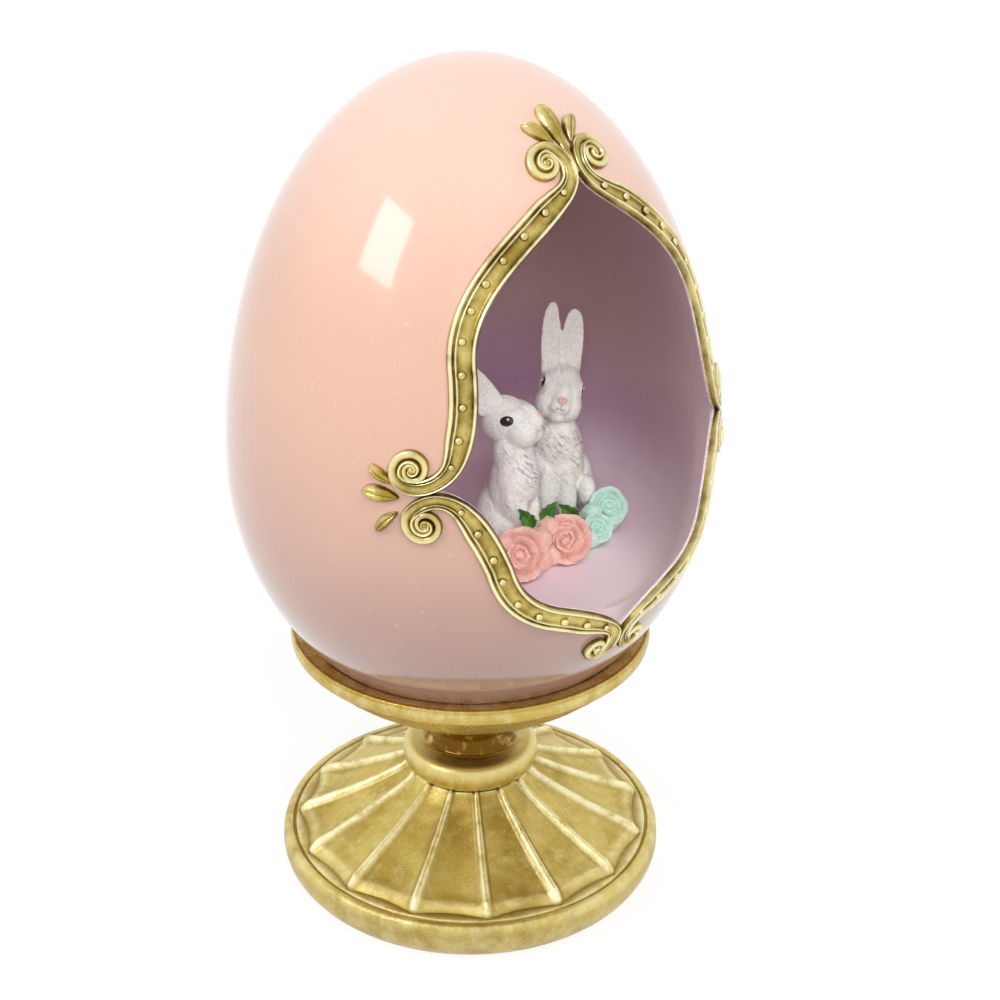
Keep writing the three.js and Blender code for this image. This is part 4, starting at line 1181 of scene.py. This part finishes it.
def makeRabbit(node):
    form, head = rabbitForm[node], rabbitForm[node]["head"]
    bodySpin = spun(form["bodyYaw"], "Z")
    bodyTurn = Matrix.Translation((*form["place"], groundLevel)) @ bodySpin
    faceTurn = Matrix.Translation(head["spot"]) @ spun(head["yaw"], "Z")
    headTurn = faceTurn @ spun(head["pitch"], "Y") @ spun(head["roll"], "X") @ Matrix.Scale(head["size"], 4)
    bm = bmesh.new()
    for place, half in bothSides(form["body"], form["limbs"]):
        addMass(bm, bodyTurn @ place, half, bodySpin)
    for place, half in bothSides(headMasses, pairedMasses):
        bmesh.ops.transform(bm, matrix=headTurn, verts=addMass(bm, place, half))
    earTurns = []
    for ear, hand in zip(form["ears"], (-1, 1)):
        turn = Matrix.Translation(ear["base"]) @ spun(-ear["lean"], "Y")
        turn = turn @ spun(-ear["tilt"], "X") @ spun(ear["turn"], "Z")
        earTurns.append(faceTurn @ turn)
        bmesh.ops.transform(bm, matrix=faceTurn @ turn, verts=loft(bm, earRings(ear, hand)))
    capEnds(bm)
    ex, ey, ez = eyeForm["spot"]
    ex, ey = ex + head["eyesAhead"], ey - 0.6 * head["eyesAhead"]
    smileReach, smileCurl = head["smile"]
    wide, deep, tall = eyeForm["half"]
    for hand in (-1, 1):
        # lids stand out round the eyes
        lid = Matrix.Translation((ex, ey * hand, ez))
        lid = lid @ Matrix.Diagonal((wide + eyeForm["lid"], deep, tall + eyeForm["lid"], 1))
        addBall(bm, headTurn @ lid, around=20, rows=14)
    bmesh.ops.recalc_face_normals(bm, faces=bm.faces)
    bm = fuse(bm, furForm["skin"], furForm["smoothing"])
    chestWay = bodySpin.to_3x3() @ Vector((1, 0, 0))
    headBack, faceBack, bodyBack = headTurn.inverted(), faceTurn.inverted(), bodyTurn.inverted()
    shifts, marks = [], {}
    for vert in bm.verts:
        h, b = headBack @ vert.co, bodyBack @ vert.co
        onHead = ease(24.0, 27.0, b.z)
        # short strokes cut slantwise into the chest
        along, across = 0.75 * b.y - 0.66 * b.z, 0.66 * b.y + 0.75 * b.z
        chest = ease(7.0, 15.0, b.z) * (1 - onHead) * ease(-0.35, 0.35, vert.normal.dot(chestWay))
        chest *= ease(-0.25, 0.25, noise.noise(b * 0.22))
        cut = ease(0.1, 0.5, noise.noise(Vector((along * 0.4, across * 2.3, b.x * 0.3)))) * chest
        lift = 0.07 * noise.noise(vert.co * 1.1) + 0.05 * noise.noise(vert.co * 3.2) - furForm["stroke"] * cut
        # nose, wider at its top
        rise = h.z - faceForm["noseUp"]
        out = ((h.x - faceForm["noseAhead"]) / 1.3) ** 2 + (h.y / (1.2 + 0.4 * rise)) ** 2
        nose = ease(1.0, 0.3, out + (rise / 0.85) ** 2)
        lift += faceForm["noseLift"] * nose
        # mouth and the cleft under the nose
        mouth = 0.0
        if h.x > 2.5 and h.z < 0 and abs(h.y) < 3:
            thin = faceForm["mouthWide"]
            cleft = math.exp(-(h.y / thin) ** 2) * ease(-2.3, -1.9, h.z) * ease(-0.7, -1.0, h.z)
            smile = math.exp(-((h.z - faceForm["mouthUp"] - smileCurl * h.y * h.y) / thin) ** 2)
            smile *= ease(smileReach, smileReach * 0.6, abs(h.y))
            mouth = max(cleft, smile)
            lift -= faceForm["mouthDeep"] * mouth
        # the fold where the ears meet
        f = faceBack @ vert.co
        lift -= furForm["earFold"] * math.exp(-((f.y - 0.2) / 0.35) ** 2) * ease(3.6, 5.4, f.z)
        # sockets behind the lids
        for hand in (-1, 1):
            out = ((h.x - ex) / (wide + 0.1)) ** 2 + ((h.z - ez) / (tall + 0.1)) ** 2
            if h.y * hand > 1 and out < 1:
                lift -= eyeForm["socket"] * (1 - out)
        shifts.append(vert.normal * lift)
        marks[vert.index] = (cut, mouth, nose, chest)
    for vert, shift in zip(bm.verts, shifts):
        vert.co += shift
        vert.co.z = max(vert.co.z, groundLevel)
    bm.normal_update()
    low = hollowness(bm, 2)
    paint, brush = bm.verts.layers.float_color.new("paint"), bm.verts.layers.float.new("brush")
    keys = ("white", "grey", "pink", "mouth")
    white, grey, pink, dark = (Vector(tone(*furForm[key])[:3]) for key in keys)
    for vert in bm.verts:
        cut, mouth, nose, vert[brush] = marks[vert.index]
        colour = white.lerp(grey, min(0.8, max(0.0, low[vert.index] * 10.0) + 0.15 * cut))
        colour = colour.lerp(dark, 0.5 * mouth).lerp(pink, 0.85 * nose)
        for ear, turn in zip(form["ears"], earTurns):
            e = turn.inverted() @ vert.co
            if 1.2 < e.z < ear["length"] and vert.normal.dot(turn.to_3x3() @ Vector((1, 0, 0))) > 0.2:
                inside = ease(ear["width"] * 0.5, 0.8, abs(e.y)) * ease(1.2, 3.0, e.z)
                inside *= ease(ear["length"], ear["length"] * 0.75, e.z)
                colour = colour.lerp(pink, 0.1 * inside)
        vert[paint] = (*colour, 1 - max(0.9 * nose, 0.6 * mouth))
    for face in bm.faces:
        face.material_index = 0
    for hand in (-1, 1):
        place = headTurn @ Matrix.Translation((ex, (ey + 0.05) * hand, ez))
        glint = place @ Matrix.Translation((0.45, hand * (deep * 0.8), 0.42))
        eyeball = place @ Matrix.Diagonal((wide, deep, tall, 1))
        for finish, matrix, size in ((1, eyeball, 1.0), (2, glint, eyeForm["glint"])):
            ball = addBall(bm, matrix, size, around=24, rows=16)
            for face in {f for v in ball for f in v.link_faces}:
                face.material_index = finish
    finishPiece("sculpted_" + node, bm, [whiteFur, eyeBlack, eyeGlint], [node], crease=80)


# roses: middle, size, facing, and the lumps (spot and radius) that tie them into one block
roseForm = {
    "rose_pink_left": {
        "place": (-1.6, -19.3, 80.7), "size": 0.94, "facing": -122, "tilt": 60, "spin": 10,
        "lumps": ((0.2, -16.6, 78.0, 3.4), (4.3, -17.6, 81.4, 2.5), (4.2, -18.2, 77.2, 2.3),
                  (-3.6, -16.4, 82.4, 1.9)),
    },
    "rose_pink_right": {
        "place": (10.0, -18.7, 80.4), "size": 0.88, "facing": -124, "tilt": 58, "spin": 70,
        "lumps": ((10.8, -16.0, 78.0, 3.4), (8.0, -15.6, 82.4, 2.2), (13.4, -15.9, 80.4, 2.2),
                  (13.2, -16.6, 77.2, 2.2), (7.2, -17.4, 77.2, 2.3)),
    },
    "rose_mint_front": {
        "place": (19.0, -17.4, 79.7), "size": 0.54, "facing": -118, "tilt": 56, "spin": 130,
        "lumps": ((18.8, -15.6, 77.4, 2.6), (17.4, -16.8, 77.6, 2.0)),
    },
    "rose_mint_back": {
        "place": (24.3, -14.3, 81.9), "size": 0.7, "facing": -112, "tilt": 54, "spin": 20,
        "lumps": ((24.4, -12.6, 78.6, 3.4), (21.0, -13.0, 80.4, 2.3)),
    },
}
# petals: count, radius at the foot and at the rim, height of both, half angle, rim curl, start turn
petalRings = (
    (2, 0.3, 0.8, -0.6, 1.6, 140, 0.1, 0),
    (3, 1.0, 2.3, -1.4, 1.45, 76, 0.45, 40),
    (5, 2.4, 4.6, -3.0, 0.2, 52, 0.8, 55),
)
petalThick = 0.55
roseSkin = {"voxel": 0.12, "smoothing": 2, "heart": ((0, 0, -2.4), (3.9, 3.9, 2.6))}


def addPetal(bm, place, ring, number):
    count, footRadius, rimRadius, footHeight, rimHeight, wide, curl, start = ring
    verts = bmesh.ops.create_grid(bm, x_segments=14, y_segments=10, size=1)["verts"]
    middle = math.radians(start + 360 * number / count + chance.uniform(-7, 7))
    lift, lean = chance.uniform(-0.4, 0.4), chance.uniform(-0.5, 0.5)
    for vert in verts:
        u, v = vert.co.x, (vert.co.y + 1) / 2
        turn = middle + u * math.radians(wide)
        radius = blend(footRadius, rimRadius, v ** 0.75) + curl * ease(0.65, 1.0, v)
        # edges drawn in, and each petal laid over the next
        radius -= 0.22 * ease(0.3, 1.0, abs(u)) * v
        radius += 0.65 * (u + 1) / 2
        height = blend(footHeight, rimHeight + lift, v ** 0.85) - 0.35 * curl * ease(0.8, 1.0, v)
        height += (lean * u - 0.8 * abs(u) ** 2.6 * (1 + curl) + 0.3 * math.exp(-(u / 0.22) ** 2)) * v
        vert.co = (radius * math.cos(turn), radius * math.sin(turn), height)
    faces = list({f for v in verts for f in v.link_faces})
    thick = bmesh.ops.solidify(bm, geom=faces, thickness=petalThick)["geom"]
    solidVerts = {v for f in thick if isinstance(f, bmesh.types.BMFace) for v in f.verts} | set(verts)
    bmesh.ops.transform(bm, matrix=place, verts=list(solidVerts))


def makeRose(node, finish):
    form = roseForm[node]
    place = Matrix.Translation(form["place"]) @ spun(form["facing"], "Z") @ spun(form["tilt"], "Y")
    place = place @ spun(form["spin"], "Z") @ Matrix.Scale(form["size"], 4)
    bm = bmesh.new()
    for ring in petalRings:
        for number in range(ring[0]):
            addPetal(bm, place, ring, number)
    bmesh.ops.transform(bm, matrix=place, verts=addMass(bm, *roseSkin["heart"]))
    for *spot, size in form["lumps"]:
        addMass(bm, spot, (size, size, size))
    bmesh.ops.recalc_face_normals(bm, faces=bm.faces)
    bm = fuse(bm, roseSkin["voxel"], roseSkin["smoothing"])
    for vert in bm.verts:
        vert.co += vert.normal * (0.14 * noise.noise(vert.co * 0.9) + 0.08 * noise.noise(vert.co * 2.2))
        vert.co.z = max(vert.co.z, groundLevel)
    bm.normal_update()
    low = hollowness(bm, 2)
    shade, crest = wearAndPaintedLightLayers(bm)
    # painted shade in the recesses, paler on the rims
    for vert in bm.verts:
        vert[shade], vert[crest] = clip(low[vert.index] * 24.0), clip(-low[vert.index] * 26.0)
    finishPiece("sculpted_" + node, bm, [finish], [node], crease=80)


# green leaves
greenForm = {
    "length": 4.6, "width": 3.0, "thick": 0.7, "pitch": -20, "teeth": 4,
    "green_leaf_left": {"place": (2.6, -15.5, 85.76), "yaw": -125, "roll": 42},
    "green_leaf_middle": {"place": (8.76, -14.5, 85.15), "yaw": -125, "roll": -38},
    "green_leaf_right": {"place": (14.57, -13.5, 83.1), "yaw": -125, "roll": 58},
}


def makeGreenLeaf(node):
    form = greenForm[node]
    bm = bmesh.new()
    verts = bmesh.ops.create_grid(bm, x_segments=16, y_segments=24, size=1)["verts"]
    for vert in verts:
        u, v = vert.co.x, (vert.co.y + 1) / 2
        swell = max(0.015, math.sin(math.pi * v ** 0.8) ** 0.8)
        wave = v * math.tau * greenForm["teeth"]
        tooth = 1 + 0.09 * math.cos(wave) * abs(u)
        fold = 0.55 * abs(u) * swell + 0.1 * math.cos(wave + abs(u) * 3) * swell
        level = greenForm["length"] * (v - 0.5) - 0.5 * abs(u) * swell
        vert.co = (fold, u * swell * tooth * greenForm["width"] / 2, level)
    closeUp(bm, 0.01)
    bmesh.ops.solidify(bm, geom=bm.faces[:], thickness=greenForm["thick"])
    place = Matrix.Translation(form["place"]) @ spun(form["yaw"], "Z")
    place = place @ spun(form["roll"], "X") @ spun(greenForm["pitch"], "Y")
    bmesh.ops.transform(bm, matrix=place, verts=bm.verts)
    finishPiece("sculpted_" + node, bm, [leafGreen], [node], crease=60)


makeFoot()
makeFeltPad()
makeSpool()
makeCup()
makeShell()
topCusp, bottomCusp = cuspFrame("top", 1), cuspFrame("bottom", 1)
for word, side in (("left", -1), ("right", 1)):
    flank, eyes = cuspFrame("side", side), borderForm["eyes"]
    makeStrip("border_upper_" + word, "trim_upper_" + word, upperRun, side,
              ((topCusp, side, eyes["top"]), (flank, 1, eyes["side_upper"])), borderForm["upperBeads"])
    makeStrip("border_lower_" + word, "trim_lower_" + word, lowerRun, side,
              ((flank, -1, eyes["side_lower"]), (bottomCusp, side, eyes["bottom"])), borderForm["lowerBeads"])
    for spot, fan in (("lower", -1), ("centre", 0), ("upper", 1)):
        makeSprayLeaf(f"leaf_{word}_{spot}", flank, sprayForm["side"], fan)
for spot, fan in (("left", -1), ("centre", 0), ("right", 1)):
    makeSprayLeaf("leaf_top_" + spot, topCusp, sprayForm["top"], fan)
makeRabbit("rabbit_small")
makeRabbit("rabbit_tall")
for node in roseForm:
    pink = "pink" in node
    makeRose(node, pinkPetal if pink else mintPetal)
for node in ("green_leaf_left", "green_leaf_middle", "green_leaf_right"):
    makeGreenLeaf(node)
print("pieces made")


# floor, light and camera
stageForm = {
    "floorSize": 6.0, "floor": (0.3, 0.29, 0.28, 1), "floorSeen": (0.9, 0.9, 0.9, 1),
    "glow": 0.8, "glowStrength": 1.05, "sky": (1, 1, 1, 1), "worldLight": 0.12,
    "aim": (0, 0, 0.11), "full": 9.87,
}
# lamps: angle round the egg from its front, angle of height, distance and size in metres,
# and level on what faces them, where full is the power for level 1 at one metre
lampForm = {
    "front_low": {"around": -25, "above": 25, "away": 3.0, "size": (2.0, 1.6), "level": 0.45},
    "front_high": {"around": -12, "above": 55, "away": 3.0, "size": (2.0, 1.6), "level": 0.4},
    "left": {"around": -80, "above": 20, "away": 3.0, "size": (1.6, 1.6), "level": 0.12},
    "left_top": {"around": -100, "above": 60, "away": 3.0, "size": (1.6, 1.6), "level": 0.08},
    "left_back": {"around": -125, "above": 20, "away": 3.0, "size": (1.6, 1.6), "level": 0.3},
    "right": {"around": 60, "above": 12, "away": 3.0, "size": (1.6, 1.6), "level": 0.38},
    "back": {"around": 148, "above": 25, "away": 3.0, "size": (1.6, 1.6), "level": 0.4},
}


def seenDirectly(tree):
    # 1 for the camera's own rays, for mirrored ones and for those through glass
    path = tree.nodes.new("ShaderNodeLightPath")
    names = ("Is Camera Ray", "Is Glossy Ray", "Is Transmission Ray")
    camera, mirrored, through = [Wire(tree, path.outputs[name]) for name in names]
    return camera.combine("MAXIMUM", mirrored).combine("MAXIMUM", through)


def makeFloor():
    bm = bmesh.new()
    bmesh.ops.create_grid(bm, x_segments=1, y_segments=1, size=stageForm["floorSize"] / 2)
    mesh = bpy.data.meshes.new("floor")
    bm.to_mesh(mesh)
    bm.free()
    floor = bpy.data.objects.new("floor", mesh)
    scene.collection.objects.link(floor)
    material = bpy.data.materials.new("floor_white")
    material.use_nodes = True
    tree = material.node_tree
    tree.nodes.clear()
    matte = tree.nodes.new("ShaderNodeBsdfDiffuse")
    matte.inputs["Color"].default_value = stageForm["floor"]
    pale = tree.nodes.new("ShaderNodeBsdfDiffuse")
    pale.inputs["Color"].default_value = stageForm["floorSeen"]
    glow = tree.nodes.new("ShaderNodeEmission")
    glow.inputs["Strength"].default_value = stageForm["glowStrength"]
    white = tree.nodes.new("ShaderNodeMixShader")
    white.inputs[0].default_value = stageForm["glow"]
    tree.links.new(pale.outputs[0], white.inputs[1])
    tree.links.new(glow.outputs[0], white.inputs[2])
    choose = tree.nodes.new("ShaderNodeMixShader")
    tree.links.new(seenDirectly(tree).socket, choose.inputs[0])
    tree.links.new(matte.outputs[0], choose.inputs[1])
    tree.links.new(white.outputs[0], choose.inputs[2])
    out = tree.nodes.new("ShaderNodeOutputMaterial")
    tree.links.new(choose.outputs[0], out.inputs["Surface"])
    mesh.materials.append(material)


def makeWorld():
    world = bpy.data.worlds.new("studio")
    scene.world = world
    world.use_nodes = True
    tree = world.node_tree
    tree.nodes.clear()
    sky = tree.nodes.new("ShaderNodeBackground")
    sky.inputs["Color"].default_value = stageForm["sky"]
    strength = seenDirectly(tree) * (1.0 - stageForm["worldLight"]) + stageForm["worldLight"]
    tree.links.new(strength.socket, sky.inputs["Strength"])
    out = tree.nodes.new("ShaderNodeOutputWorld")
    tree.links.new(sky.outputs[0], out.inputs["Surface"])


def addLamp(name, place, size, power, mirrored):
    lamp = bpy.data.lights.new(name, "AREA")
    lamp.shape = "RECTANGLE"
    lamp.size, lamp.size_y = size
    lamp.energy = power
    holder = bpy.data.objects.new(name, lamp)
    holder.location = place
    holder.rotation_euler = (Vector(stageForm["aim"]) - Vector(place)).to_track_quat("-Z", "Y").to_euler()
    holder.visible_glossy = mirrored
    scene.collection.objects.link(holder)


makeFloor()
makeWorld()
for name, form in lampForm.items():
    around, above = math.radians(form["around"]), math.radians(form["above"])
    flat = math.cos(above)
    toLamp = Vector((math.sin(around) * flat, -math.cos(around) * flat, math.sin(above)))
    addLamp(name, Vector(stageForm["aim"]) + toLamp * form["away"], form["size"],
            stageForm["full"] * form["away"] ** 2 * form["level"], False)
# the small window that glints on the lacquer
windowForm = {"place": (-0.83, 0.0, 0.72), "size": (0.36, 0.36), "power": 1.9}
addLamp("window", windowForm["place"], windowForm["size"], windowForm["power"], True)

cameraForm = {
    "sensor": 36, "lens": 68.48, "shift": 0.0305, "near": 0.01,
    "place": (-0.1977, -0.2810, 0.2502), "tilt": 64.22, "turn": -35.1,
}
camera = bpy.data.objects.new("camera", bpy.data.cameras.new("camera"))
camera.data.sensor_width = cameraForm["sensor"]
camera.data.lens = cameraForm["lens"]
camera.data.shift_x = cameraForm["shift"]
camera.data.clip_start = cameraForm["near"]
camera.location = cameraForm["place"]
camera.rotation_euler = (math.radians(cameraForm["tilt"]), 0, math.radians(cameraForm["turn"]))
scene.collection.objects.link(camera)
scene.camera = camera
scene.view_settings.view_transform = "Standard"
print("stage set")
